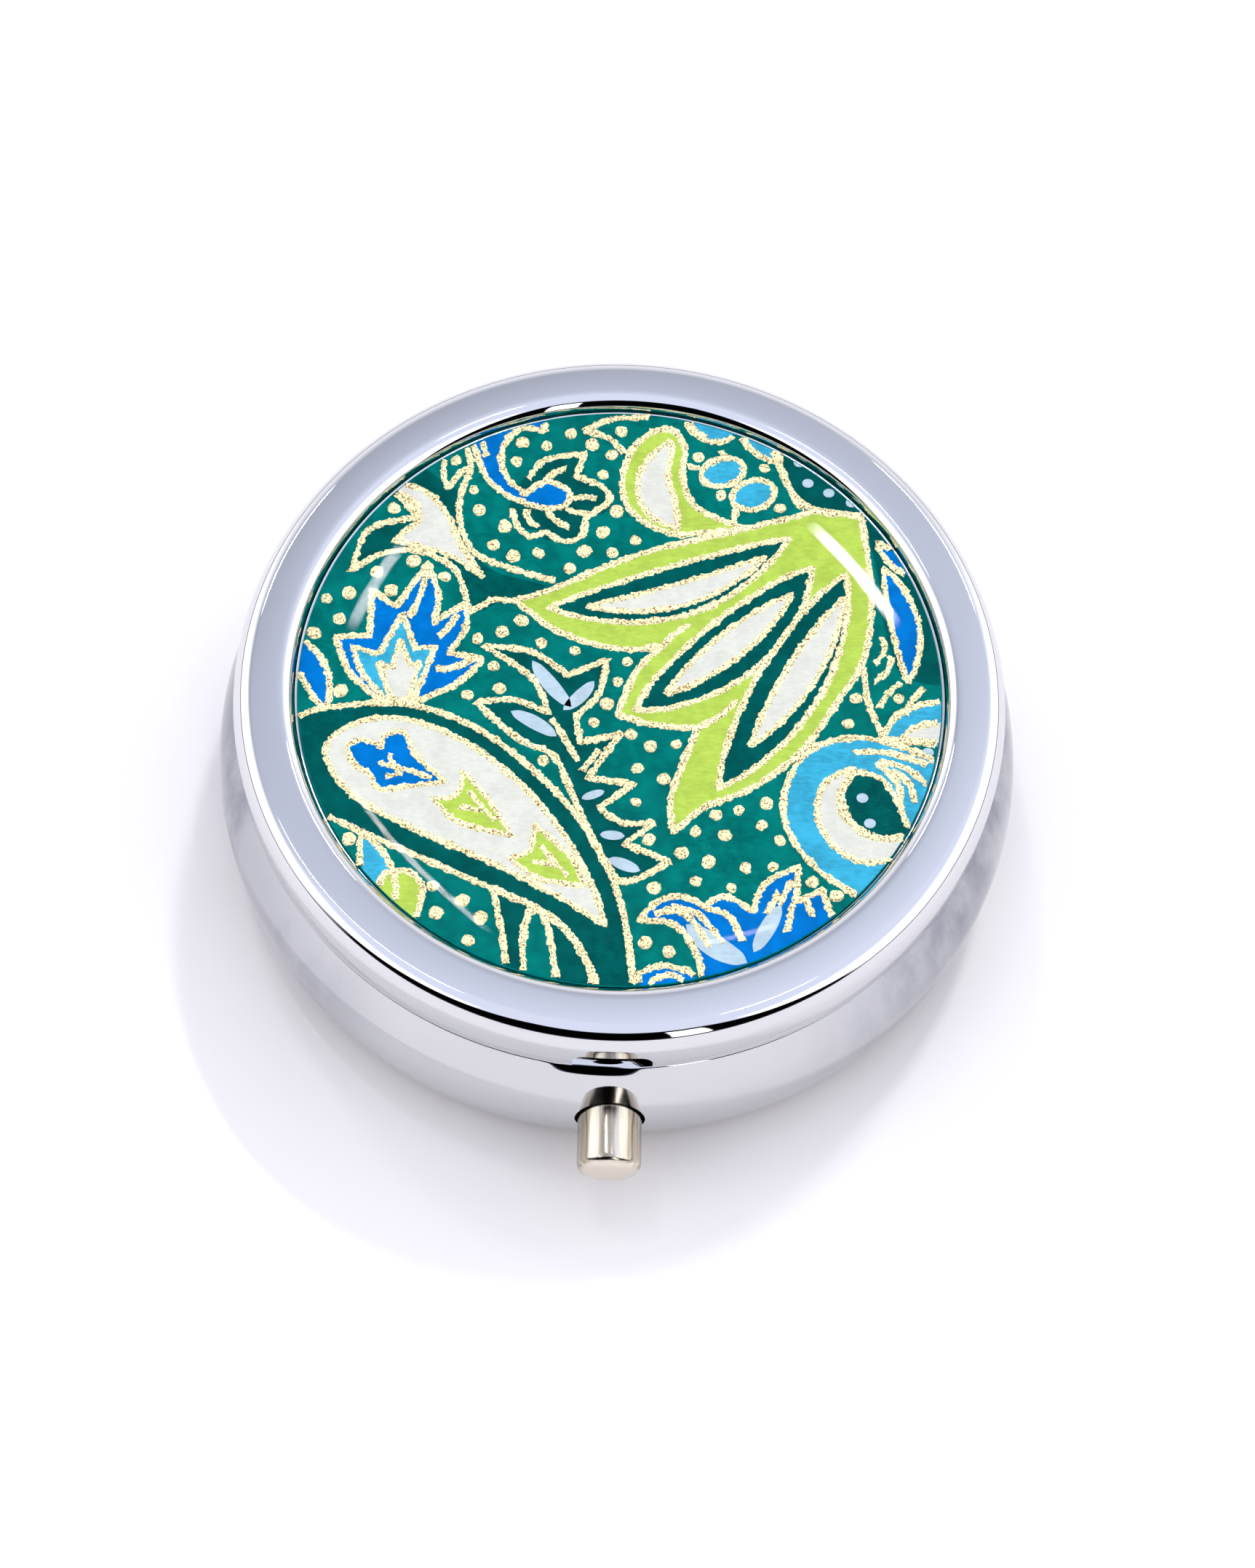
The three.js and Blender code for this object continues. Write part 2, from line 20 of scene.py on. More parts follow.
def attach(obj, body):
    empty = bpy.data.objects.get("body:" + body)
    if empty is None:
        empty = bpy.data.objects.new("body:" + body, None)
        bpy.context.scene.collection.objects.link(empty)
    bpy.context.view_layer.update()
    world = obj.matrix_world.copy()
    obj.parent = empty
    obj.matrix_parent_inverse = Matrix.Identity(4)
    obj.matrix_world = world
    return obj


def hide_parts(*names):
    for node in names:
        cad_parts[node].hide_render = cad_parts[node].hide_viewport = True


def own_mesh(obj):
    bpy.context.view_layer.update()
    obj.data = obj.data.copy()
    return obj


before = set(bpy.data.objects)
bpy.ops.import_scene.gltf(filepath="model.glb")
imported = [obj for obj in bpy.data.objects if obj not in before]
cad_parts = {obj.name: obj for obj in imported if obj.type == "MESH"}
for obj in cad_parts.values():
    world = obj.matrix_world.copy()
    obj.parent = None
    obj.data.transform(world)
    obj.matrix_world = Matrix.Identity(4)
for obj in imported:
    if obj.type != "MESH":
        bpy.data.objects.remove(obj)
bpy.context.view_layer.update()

MM = 0.001
LOG = logging.getLogger("pill_box")
Point = tuple[float, ...]
Colour = tuple[float, float, float]
Span = tuple[float, float]


class Body(Enum):
    """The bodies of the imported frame."""

    BASE = "base"
    LID = "lid"
    BUTTON = "button"


class Slot(Enum):
    """The material slots, by name."""

    PLATED = "plated"
    NICKEL = "button_nickel"
    STEEL = "bright_steel"
    TRAY = "tray_plastic"
    PAPER = "printed_paper"
    RESIN = "clear_resin"


# ---------------------------------------------------------------- node trees


class Sheet:
    """Adds and links the nodes of one node tree."""

    def __init__(self, tree: bpy.types.NodeTree) -> None:
        """Args:
            tree: the node tree to write to.
        """
        self.tree = tree

    def node(self, kind: str, **settings: object) -> bpy.types.Node:
        """Adds a node.

        Args:
            kind: the node's type name.
            settings: attributes to set on the node.

        Returns:
            The new node.
        """
        made = self.tree.nodes.new(kind)
        for name, value in settings.items():
            setattr(made, name, value)
        return made

    def put(self, socket: bpy.types.NodeSocket, value: object) -> None:
        """Links a socket, or sets a plain value, on an input.

        Args:
            socket: the input.
            value: another node's output, or a number or colour.
        """
        if isinstance(value, bpy.types.NodeSocket):
            self.tree.links.new(value, socket)
        elif isinstance(value, tuple) and len(value) == 3 and len(socket.default_value) == 4:
            socket.default_value = (*value, 1.0)
        else:
            socket.default_value = value

    def math(self, operation: str, *values: object) -> bpy.types.NodeSocket:
        """One Math node.

        Args:
            operation: Math node's operation.
            values: its inputs in order.

        Returns:
            Its output.
        """
        made = self.node("ShaderNodeMath", operation=operation)
        for socket, value in zip(made.inputs, values):
            self.put(socket, value)
        return made.outputs[0]

    def step(self, value: object, low: float, high: float, start: float = 0.0,
             end: float = 1.0) -> bpy.types.NodeSocket:
        """A smooth rise from start to end as value goes from low to high.

        Args:
            value: what is mapped.
            low: where the rise starts.
            high: where it ends.
            start: result below low.
            end: result above high.

        Returns:
            The mapped value.
        """
        made = self.node("ShaderNodeMapRange", interpolation_type="SMOOTHSTEP")
        for name, given in zip(("Value", "From Min", "From Max", "To Min", "To Max"),
                               (value, low, high, start, end)):
            self.put(made.inputs[name], given)
        return made.outputs["Result"]

    def mix(self, factor: object, first: object, second: object) -> bpy.types.NodeSocket:
        """A mix of two colours.

        Args:
            factor: 0 for the first colour, 1 for the second.
            first: a colour.
            second: a colour.

        Returns:
            The mixed colour.
        """
        made = self.node("ShaderNodeMix", data_type="RGBA")
        self.put(made.inputs["Factor"], factor)
        self.put(made.inputs["A"], first)
        self.put(made.inputs["B"], second)
        return made.outputs["Result"]

    def band(self, value: object, rise: Span, fall: Span) -> bpy.types.NodeSocket:
        """A mask that is 1 over a range, with soft ends.

        Args:
            value: what is masked.
            rise: where the mask goes from 0 to 1.
            fall: where it goes back to 0.

        Returns:
            The mask.
        """
        return self.math("MULTIPLY", self.step(value, *rise), self.step(value, *fall, 1.0, 0.0))

    def axes(self, vector: object) -> tuple[bpy.types.NodeSocket, ...]:
        """The three parts of a vector.

        Args:
            vector: the vector.

        Returns:
            Its x, y and z.
        """
        made = self.node("ShaderNodeSeparateXYZ")
        self.put(made.inputs[0], vector)
        return tuple(made.outputs)

    def effect(self, tree: bpy.types.NodeTree, vector: object, **values: float) -> object:
        """Uses one of the shared effects.

        Args:
            tree: the effect.
            vector: coordinates.
            values: its other inputs by name.

        Returns:
            Its outputs, which are read by name.
        """
        made = self.node("ShaderNodeGroup", node_tree=tree)
        self.put(made.inputs["Vector"], vector)
        for name, value in values.items():
            made.inputs[name].default_value = value
        return made.outputs

    def noise(self, vector: object, scale: object, detail: float = 3.0,
              roughness: float = 0.5) -> bpy.types.NodeSocket:
        """Noise, 0 to 1.

        Args:
            vector: coordinates.
            scale: scale in 1/m.
            detail: octaves.
            roughness: weight of the fine octaves.

        Returns:
            The noise value.
        """
        made = self.node("ShaderNodeTexNoise")
        self.put(made.inputs["Vector"], vector)
        self.put(made.inputs["Scale"], scale)
        made.inputs["Detail"].default_value = detail
        made.inputs["Roughness"].default_value = roughness
        return made.outputs["Fac"]

    def stretched(self, vector: object, scale: Point) -> bpy.types.NodeSocket:
        """Coordinates stretched along the axes.

        Args:
            vector: coordinates.
            scale: factor along each axis.

        Returns:
            The stretched coordinates.
        """
        made = self.node("ShaderNodeMapping")
        self.put(made.inputs["Vector"], vector)
        made.inputs["Scale"].default_value = scale
        return made.outputs["Vector"]


class Effects:
    """Shader node groups that more than one finish uses, each built once."""

    _made: dict[str, bpy.types.NodeTree] = {}

    @classmethod
    def _group(cls, name: str, inputs: dict[str, float], outputs: Sequence[str],
               fill: Callable[[Sheet, bpy.types.Node, bpy.types.Node], None]) -> bpy.types.NodeTree:
        """Makes or finds a group.

        Args:
            name: the group's name.
            inputs: names and default values of its number inputs, after Vector.
            outputs: names of its number outputs.
            fill: writes the nodes between the group's input and output nodes.

        Returns:
            The group's tree.
        """
        if name not in cls._made:
            tree = bpy.data.node_groups.new(name, "ShaderNodeTree")
            tree.interface.new_socket("Vector", in_out="INPUT", socket_type="NodeSocketVector")
            for label, value in inputs.items():
                made = tree.interface.new_socket(label, in_out="INPUT", socket_type="NodeSocketFloat")
                made.default_value = value
            for label in outputs:
                tree.interface.new_socket(label, in_out="OUTPUT", socket_type="NodeSocketFloat")
            sheet = Sheet(tree)
            fill(sheet, sheet.node("NodeGroupInput"), sheet.node("NodeGroupOutput"))
            cls._made[name] = tree
        return cls._made[name]

    @classmethod
    def handling(cls) -> bpy.types.NodeTree:
        """Polished plating that has been handled: faint smudges, hairlines and tiny pits.

        Returns:
            The group, with outputs Marks and Height.
        """
        smudge_scale, hairline_scale, pit_scale, ripple_scale = 210.0, 2600.0, 5200.0, 330.0
        hairline_stretch = (1.0, 0.18, 0.5)
        ripple_depth, pit_depth = 0.6, 0.35

        def fill(s: Sheet, given: bpy.types.Node, out: bpy.types.Node) -> None:
            """Writes the group.

            Args:
                s: the group's sheet.
                given: its input node.
                out: its output node.
            """
            vector = given.outputs["Vector"]
            smudge = s.step(s.noise(vector, smudge_scale, 4.0, 0.62), 0.56, 0.74)
            fine = s.step(s.noise(s.stretched(vector, hairline_stretch), hairline_scale, 2.0), 0.66, 0.78)
            pits = s.step(s.noise(vector, pit_scale, 1.0), 0.80, 0.86)
            marks = s.math("ADD", s.math("MULTIPLY", smudge, given.outputs["Smudges"]),
                           s.math("MULTIPLY", fine, given.outputs["Hairlines"]))
            s.put(out.inputs["Marks"], marks)
            ripple = s.math("MULTIPLY", s.noise(vector, ripple_scale, 2.0), ripple_depth)
            s.put(out.inputs["Height"], s.math("SUBTRACT", ripple, s.math("MULTIPLY", pits, pit_depth)))

        return cls._group("handling_marks", {"Smudges": 0.1, "Hairlines": 0.05}, ("Marks", "Height"), fill)

    @classmethod
    def drawn(cls) -> bpy.types.NodeTree:
        """Lines left along a drawn or turned surface.

        Returns:
            The group, with outputs Lines and Height.
        """

        def fill(s: Sheet, given: bpy.types.Node, out: bpy.types.Node) -> None:
            """Writes the group.

            Args:
                s: the group's sheet.
                given: its input node.
                out: its output node.
            """
            coarse = s.noise(given.outputs["Vector"], given.outputs["Scale"], 3.0, 0.6)
            s.put(out.inputs["Lines"], s.step(coarse, 0.35, 0.68))
            s.put(out.inputs["Height"], coarse)

        return cls._group("drawn_lines", {"Scale": 2400.0}, ("Lines", "Height"), fill)

    @classmethod
    def grain(cls) -> bpy.types.NodeTree:
        """Grain of printed ink on fibrous paper: soft mottling and fine specks.

        Returns:
            The group, with outputs Mottle, Specks and Height.
        """
        mottle_scale, fibre_scale = 900.0, 5200.0
        fibre_stretch = (0.35, 1.0, 1.0)
        mottle_share, speck_height = 0.55, 0.6

        def fill(s: Sheet, given: bpy.types.Node, out: bpy.types.Node) -> None:
            """Writes the group.

            Args:
                s: the group's sheet.
                given: its input node.
                out: its output node.
            """
            vector = given.outputs["Vector"]
            mottle = s.noise(vector, mottle_scale, 4.0, 0.6)
            fibre = s.noise(s.stretched(vector, fibre_stretch), fibre_scale, 3.0, 0.65)
            speck = s.step(s.noise(vector, given.outputs["Scale"], 2.0, 0.7), 0.54, 0.62)
            s.put(out.inputs["Mottle"], s.math("ADD", s.math("MULTIPLY", mottle, mottle_share),
                                               s.math("MULTIPLY", fibre, 1.0 - mottle_share)))
            s.put(out.inputs["Specks"], speck)
            s.put(out.inputs["Height"], s.math("ADD", fibre, s.math("MULTIPLY", speck, speck_height)))

        return cls._group("ink_grain", {"Scale": 9000.0}, ("Mottle", "Specks", "Height"), fill)


# ---------------------------------------------------------------- finishes


def linear(red: int, green: int, blue: int) -> Colour:
    """A display colour as scene-linear values.

    Args:
        red: 0 to 255.
        green: 0 to 255.
        blue: 0 to 255.

    Returns:
        The linear colour.
    """
    def channel(value: int) -> float:
        """One channel of the standard display curve."""
        share = value / 255.0
        return share / 12.92 if share <= 0.04045 else ((share + 0.055) / 1.055) ** 2.4

    return channel(red), channel(green), channel(blue)


def scaled(colour: Colour, factor: float) -> Colour:
    """A colour made darker or lighter by a factor."""
    return tuple(min(1.0, part * factor) for part in colour)


@dataclass(frozen=True)
class Finish:
    """What every finish has: a name and a way to start its material."""

    name: str

    def _start(self) -> tuple[bpy.types.Material, Sheet, bpy.types.Node, bpy.types.NodeSocket]:
        """Starts a material.

        Returns:
            The material, its sheet, its shader and its object coordinates.
        """
        made = bpy.data.materials.new(self.name)
        made.use_nodes = True
        sheet = Sheet(made.node_tree)
        shader = next(n for n in made.node_tree.nodes if n.type == "BSDF_PRINCIPLED")
        return made, sheet, shader, sheet.node("ShaderNodeTexCoord").outputs["Object"]

    @staticmethod
    def _bump(sheet: Sheet, shader: bpy.types.Node, height: object, strength: float,
              distance: float) -> None:
        """Adds relief to a shader.

        Args:
            sheet: the material's sheet.
            shader: the shader.
            height: the relief.
            strength: how strongly it shows.
            distance: its depth in metres.
        """
        bump = sheet.node("ShaderNodeBump")
        bump.inputs["Strength"].default_value = strength
        bump.inputs["Distance"].default_value = distance
        sheet.put(bump.inputs["Height"], height)
        sheet.put(shader.inputs["Normal"], bump.outputs["Normal"])


@dataclass(frozen=True)
class Plating(Finish):
    """Bright chrome plating over stamped sheet."""

    tint: Colour = (0.69, 0.695, 0.715)
    roughness: float = 0.035
    smudges: float = 0.10
    hairlines: float = 0.05
    mark_shade: float = 0.72
    ripple: float = 0.05
    ripple_depth: float = 0.00003
    # Painted shade towards the two sides: its strength (haze), its colour, its peak and where it rises on
    # the right and on the left; the cloud fields break it into streaks.
    haze: float = 0.0
    side_shade_tint: Colour = (0.25, 0.26, 0.30)
    side_shade_peak: float = 1.25
    side_shade_right: Span = (0.008, 0.026)
    side_shade_left: Span = (-0.026, -0.012)
    cloud_scale: float = 150.0
    cloud_stretch: Point = (1.0, 1.0, 0.4)
    cloud_share: float = 0.6

    def _painted_side_shade(self, s: Sheet, place: object, colour: object) -> object:
        """Darkens the plating with painted shade in broad cloudy streaks, most towards the two sides, where
        it stands in for darker reflections.

        Args:
            s: the material's sheet.
            place: object coordinates.
            colour: the plating's colour.

        Returns:
            The colour with the painted shade.
        """
        x = s.axes(place)[0]
        stretched = s.stretched(place, self.cloud_stretch)
        cloud = s.step(s.noise(stretched, self.cloud_scale, 5.0, 0.62), 0.38, 0.66)
        right = s.step(x, *self.side_shade_right, 0.0, self.side_shade_peak)
        left = s.step(x, *self.side_shade_left, self.side_shade_peak, 0.0)
        patchy = s.math("MULTIPLY_ADD", cloud, self.cloud_share, 1.0 - self.cloud_share)
        shade_amount = s.math("MULTIPLY", s.math("ADD", left, right), patchy)
        return s.mix(s.math("MULTIPLY", shade_amount, self.haze), colour, self.side_shade_tint)

    def material(self) -> bpy.types.Material:
        """Returns:
            The finished material.
        """
        made, s, shader, place = self._start()
        marks = s.effect(Effects.handling(), place, Smudges=self.smudges, Hairlines=self.hairlines)
        shader.inputs["Metallic"].default_value = 1.0
        colour = s.mix(marks["Marks"], self.tint, scaled(self.tint, self.mark_shade))
        # Painted side shade, when its strength is set.
        if self.haze:
            colour = self._painted_side_shade(s, place, colour)
        s.put(shader.inputs["Base Color"], colour)
        s.put(shader.inputs["Roughness"], s.math("ADD", marks["Marks"], self.roughness))
        self._bump(s, shader, marks["Height"], self.ripple, self.ripple_depth)
        return made


@dataclass(frozen=True)
class DrawnMetal(Finish):
    """Metal with lines along one direction: the button, and the bright steel inside."""

    light: Colour = (0.66, 0.65, 0.63)
    dark: Colour = (0.50, 0.49, 0.47)
    roughness: float = 0.24
    line_roughness: float = 0.10
    stretch: Point = (1.0, 0.06, 1.0)
    line_scale: float = 2400.0
    relief: float = 0.12
    relief_depth: float = 0.00004
    plain_front: float = -1.0
    plain_fade: float = 0.0002
    plain_tone: float = 0.8

    def material(self) -> bpy.types.Material:
        """Returns:
            The finished material, without lines in front of plain_front.
        """
        made, s, shader, place = self._start()
        lines = s.effect(Effects.drawn(), s.stretched(place, self.stretch), Scale=self.line_scale)
        drawn = s.step(s.axes(place)[1], self.plain_front, self.plain_front + self.plain_fade)
        above = s.math("SUBTRACT", lines["Lines"], self.plain_tone)
        shown = s.math("MULTIPLY_ADD", drawn, above, self.plain_tone)
        shader.inputs["Metallic"].default_value = 1.0
        s.put(shader.inputs["Base Color"], s.mix(shown, self.dark, self.light))
        s.put(shader.inputs["Roughness"],
              s.math("MULTIPLY_ADD", shown, self.line_roughness, self.roughness))
        self._bump(s, shader, s.math("MULTIPLY", lines["Height"], drawn), self.relief, self.relief_depth)
        return made


@dataclass(frozen=True)
class Ink(Finish):
    """Printed ink, or the paper's own ground."""

    colour: Colour = (0.0, 0.2, 0.2)
    variation: float = 0.22
    speck_colour: Colour | None = None
    speck_scale: float = 9000.0
    roughness: float = 0.5
    mottle_roughness: float = 0.2
    metallic: float = 0.0
    relief: float = 0.35
    relief_depth: float = 0.00003

    def material(self) -> bpy.types.Material:
        """Returns:
            The finished material.
        """
        made, s, shader, place = self._start()
        grain = s.effect(Effects.grain(), place, Scale=self.speck_scale)
        low, high = scaled(self.colour, 1.0 - self.variation), scaled(self.colour, 1.0 + self.variation)
        colour = s.mix(s.step(grain["Mottle"], 0.36, 0.64), low, high)
        if self.speck_colour:
            colour = s.mix(grain["Specks"], colour, self.speck_colour)
        s.put(shader.inputs["Base Color"], colour)
        shader.inputs["Metallic"].default_value = self.metallic
        shader.inputs["Specular IOR Level"].default_value = 0.0
        least = self.roughness - self.mottle_roughness / 2
        s.put(shader.inputs["Roughness"],
              s.math("MULTIPLY_ADD", grain["Mottle"], self.mottle_roughness, least))
        self._bump(s, shader, grain["Height"], self.relief, self.relief_depth)
        return made


@dataclass(frozen=True)
class ClearResin(Finish):
    """Clear cast resin: lets light straight through and mirrors at its outer surface."""

    tint: Colour = (0.975, 0.99, 0.988)
    index: float = 1.5
    shine: float = 0.1
    roughness: float = 0.015
    wave_scale: float = 260.0
    wave: float = 0.06
    wave_depth: float = 0.00005

    def material(self) -> bpy.types.Material:
        """Returns:
            The finished material.
        """
        made, s, shader, place = self._start()
        s.tree.nodes.remove(shader)
        output = next(n for n in s.tree.nodes if n.type == "OUTPUT_MATERIAL")
        clear = s.node("ShaderNodeBsdfTransparent")
        s.put(clear.inputs["Color"], self.tint)
        gloss = s.node("ShaderNodeBsdfAnisotropic", distribution="GGX")
        gloss.inputs["Roughness"].default_value = self.roughness
        s.put(gloss.inputs["Color"], (1.0, 1.0, 1.0))
        self._bump(s, gloss, s.noise(place, self.wave_scale, 2.0), self.wave, self.wave_depth)
        fresnel = s.node("ShaderNodeFresnel")
        fresnel.inputs["IOR"].default_value = self.index
        inside = s.node("ShaderNodeNewGeometry").outputs["Backfacing"]
        shine = s.math("MULTIPLY", fresnel.outputs["Fac"], self.shine)
        share = s.math("MULTIPLY", shine, s.math("SUBTRACT", 1.0, inside))
        mixed = s.node("ShaderNodeMixShader")
        s.put(mixed.inputs["Fac"], share)
        s.put(mixed.inputs[1], clear.outputs["BSDF"])
        s.put(mixed.inputs[2], gloss.outputs["BSDF"])
        s.put(output.inputs["Surface"], mixed.outputs["Shader"])
        return made


@dataclass(frozen=True)
class Moulded(Finish):
    """Satin moulded plastic with a fine spark-eroded texture."""

    colour: Colour = (0.78, 0.78, 0.74)
    roughness: float = 0.32
    grain_roughness: float = 0.16
    cloud_scale: float = 160.0
    cloud_shade: float = 0.93
    grain_scale: float = 7000.0
    glow: float = 0.12
    glow_scale: float = 0.0015
    glow_radius: Colour = (1.0, 0.9, 0.8)
    relief: float = 0.25
    relief_depth: float = 0.00002

    def material(self) -> bpy.types.Material:
        """Returns:
            The finished material.
        """
        made, s, shader, place = self._start()
        cloud = s.noise(place, self.cloud_scale, 3.0)
        s.put(shader.inputs["Base Color"], s.mix(cloud, scaled(self.colour, self.cloud_shade), self.colour))
        grain = s.noise(place, self.grain_scale, 2.0)
        s.put(shader.inputs["Roughness"],
              s.math("MULTIPLY_ADD", grain, self.grain_roughness, self.roughness))
        shader.inputs["Subsurface Weight"].default_value = self.glow
        shader.inputs["Subsurface Scale"].default_value = self.glow_scale
        shader.inputs["Subsurface Radius"].default_value = self.glow_radius
        self._bump(s, shader, grain, self.relief, self.relief_depth)
        return made


@dataclass(frozen=True)
class Tabletop(Finish):
    """The plain pale surface under the box."""

    colour: Colour = (0.87, 0.84, 0.83)
    patch_scale: float = 6.0
    patch_shade: float = 0.985
    roughness: float = 0.7

    def material(self) -> bpy.types.Material:
        """Returns:
            The finished material.
        """
        made, s, shader, place = self._start()
        patches = s.noise(place, self.patch_scale, 2.0)
        darker = scaled(self.colour, self.patch_shade)
        s.put(shader.inputs["Base Color"], s.mix(patches, darker, self.colour))
        shader.inputs["Roughness"].default_value = self.roughness
        return made


# ---------------------------------------------------------------- mesh work


@dataclass
class Profile:
    """Half of a turned piece's section, as (radius, height) points."""

    points: list[tuple[float, float]] = field(default_factory=list)

    def to(self, *points: tuple[float, float]) -> "Profile":
        """Adds straight stretches to the given points."""
        self.points.extend(points)
        return self

    def arc(self, centre: tuple[float, float], radius: float, start: float, end: float,
            steps: int = 8) -> "Profile":
        """Adds an arc.

        Args:
            centre: its centre.
            radius: its radius.
            start: angle of its first point, in degrees from the radial direction.
            end: angle of its last point.
            steps: number of chords.

        Returns:
            The profile itself.
        """
        for i in range(steps + 1):
            angle = math.radians(start + (end - start) * i / steps)
            self.points.append((centre[0] + radius * math.cos(angle), centre[1] + radius * math.sin(angle)))
        return self

    def curve(self, radius_at: Callable[[float], float], start: float, end: float,
              steps: int) -> "Profile":
        """Adds a stretch whose radius is a function of height.

        Args:
            radius_at: the function.
            start: first height.
            end: last height.
            steps: number of chords.

        Returns:
            The profile itself.
        """
        for i in range(steps + 1):
            height = start + (end - start) * i / steps
            self.points.append((radius_at(height), height))
        return self

    def turned(self, sides: int, closed: bool = True) -> bmesh.types.BMesh:
        """Spins the section about the vertical axis.

        Args:
            sides: number of steps in a full turn.
            closed: joins the last point to the first, for a section that doesn't touch the axis.

        Returns:
            The turned mesh, in millimetres.
        """
        made = bmesh.new()
        verts = [made.verts.new((radius, 0.0, height)) for radius, height in self.points]
        pairs = list(zip(verts, verts[1:]))
        if closed:
            pairs.append((verts[-1], verts[0]))
        edges = [made.edges.new(pair) for pair in pairs]
        bmesh.ops.spin(made, geom=verts + edges, cent=(0, 0, 0), axis=(0, 0, 1), dvec=(0, 0, 0),
                       angle=2 * math.pi, steps=sides, use_merge=True, use_normal_flip=False,
                       use_duplicate=False)
        bmesh.ops.remove_doubles(made, verts=made.verts, dist=1e-4)
        bmesh.ops.dissolve_degenerate(made, edges=made.edges, dist=1e-5)
        return made


def facing_front(made: bmesh.types.BMesh, height: float) -> bmesh.types.BMesh:
    """Lays a turned mesh along the front-to-back axis, its top towards the back.

    Args:
        made: a mesh turned about the vertical axis.
        height: height of the new axis.

    Returns:
        The same mesh, moved.
    """
    bmesh.ops.rotate(made, verts=made.verts, cent=(0, 0, 0), matrix=Matrix.Rotation(-math.pi / 2, 3, "X"))
    bmesh.ops.translate(made, verts=made.verts, vec=(0, 0, height))
    return made


def cuboid(low: Point, high: Point) -> bmesh.types.BMesh:
    """A box between two corners.

    Args:
        low: its lowest corner.
        high: its highest corner.

    Returns:
        The box, in millimetres.
    """
    made = bmesh.new()
    size = [b - a for a, b in zip(low, high)]
    middle = [(a + b) / 2 for a, b in zip(low, high)]
    bmesh.ops.create_cube(made, size=1.0, matrix=Matrix.Translation(middle) @ Matrix.Diagonal((*size, 1.0)))
    return made


def thickened(made: bmesh.types.BMesh, depth: Point) -> None:
    """Gives flat patches a thickness.

    Args:
        made: a mesh of flat faces.
        depth: how far and which way they are pushed.
    """
    grown = bmesh.ops.extrude_face_region(made, geom=made.faces[:], use_keep_orig=True)
    moved = [item for item in grown["geom"] if isinstance(item, bmesh.types.BMVert)]
    bmesh.ops.translate(made, verts=moved, vec=depth)


def prism(outline: Sequence[Point], depth: Point) -> bmesh.types.BMesh:
    """A flat outline pushed along a vector.

    Args:
        outline: its corners in order.
        depth: the push.

    Returns:
        The closed prism, in millimetres.
    """
    made = bmesh.new()
    made.faces.new([made.verts.new(point) for point in outline])
    thickened(made, depth)
    bmesh.ops.recalc_face_normals(made, faces=made.faces)
    return made


def rounded(made: bmesh.types.BMesh, edges: Sequence[bmesh.types.BMEdge], by: float, segments: int,
            clamp: bool = False) -> None:
    """Rounds edges of a mesh.

    Args:
        made: the mesh.
        edges: its edges to round.
        by: distance from the edge at which the rounding starts.
        segments: number of faces across it.
        clamp: keeps neighbouring roundings from crossing.
    """
    bmesh.ops.bevel(made, geom=edges, offset=by, offset_type="OFFSET", segments=segments, profile=0.5,
                    affect="EDGES", material=-1, clamp_overlap=clamp)


def object_of(made: bmesh.types.BMesh, name: str) -> bpy.types.Object:
    """Turns a bmesh into a linked object and frees it.

    Args:
        made: the mesh.
        name: the object's name.

    Returns:
        The object.
    """
    mesh = bpy.data.meshes.new(name)
    made.to_mesh(mesh)
    made.free()
    piece = bpy.data.objects.new(name, mesh)
    bpy.context.scene.collection.objects.link(piece)
    return piece


def baked(piece: bpy.types.Object) -> bmesh.types.BMesh:
    """Reads an object with its modifiers applied, then removes it.

    Args:
        piece: the object.

    Returns:
        Its final mesh.
    """
    seen = piece.evaluated_get(bpy.context.evaluated_depsgraph_get())
    mesh = bpy.data.meshes.new_from_object(seen)
    made = bmesh.new()
    made.from_mesh(mesh)
    data = piece.data
    bpy.data.objects.remove(piece)
    bpy.data.meshes.remove(mesh)
    if isinstance(data, bpy.types.Mesh):
        bpy.data.meshes.remove(data)
    return made


def rods(lines: Sequence[tuple[Sequence[Point], bool]], radius: float, rounding: int,
         capped: bool = False) -> bmesh.types.BMesh:
    """Round rods along lines.

    Args:
        lines: each line's (x, y, z, swell) points, and whether it is a loop.
        radius: the radius where the swell is 1.
        rounding: how finely the section is rounded.
        capped: closes the ends.

    Returns:
        The rods.
    """
    data = bpy.data.curves.new("rods", "CURVE")
    data.dimensions = "3D"
    data.bevel_depth = radius
    data.bevel_resolution = rounding
    data.use_fill_caps = capped
    for points, closed in lines:
        spline = data.splines.new("POLY")
        spline.points.add(len(points) - 1)
        spline.use_cyclic_u = closed
        for point, (x, y, z, swell) in zip(spline.points, points):
            point.co = (x, y, z, 1.0)
            point.radius = swell
    holder = bpy.data.objects.new("rods", data)
    bpy.context.scene.collection.objects.link(holder)
    made = baked(holder)
    bpy.data.curves.remove(data)
    return made


def carved(made: bmesh.types.BMesh, cutters: Iterable[bmesh.types.BMesh]) -> bmesh.types.BMesh:
    """Cuts shapes out of a mesh.

    Args:
        made: the mesh to cut.
        cutters: closed meshes.

    Returns:
        The cut mesh.
    """
    bmesh.ops.recalc_face_normals(made, faces=made.faces)
    body = object_of(made, "blank")
    tools = []
    for cutter in cutters:
        bmesh.ops.recalc_face_normals(cutter, faces=cutter.faces)
        tools.append(object_of(cutter, "cutter"))
        cut = body.modifiers.new("cut", "BOOLEAN")
        cut.operation, cut.solver, cut.object = "DIFFERENCE", "EXACT", tools[-1]
    result = baked(body)
    for tool in tools:
        data = tool.data
        bpy.data.objects.remove(tool)
        bpy.data.meshes.remove(data)
    return result


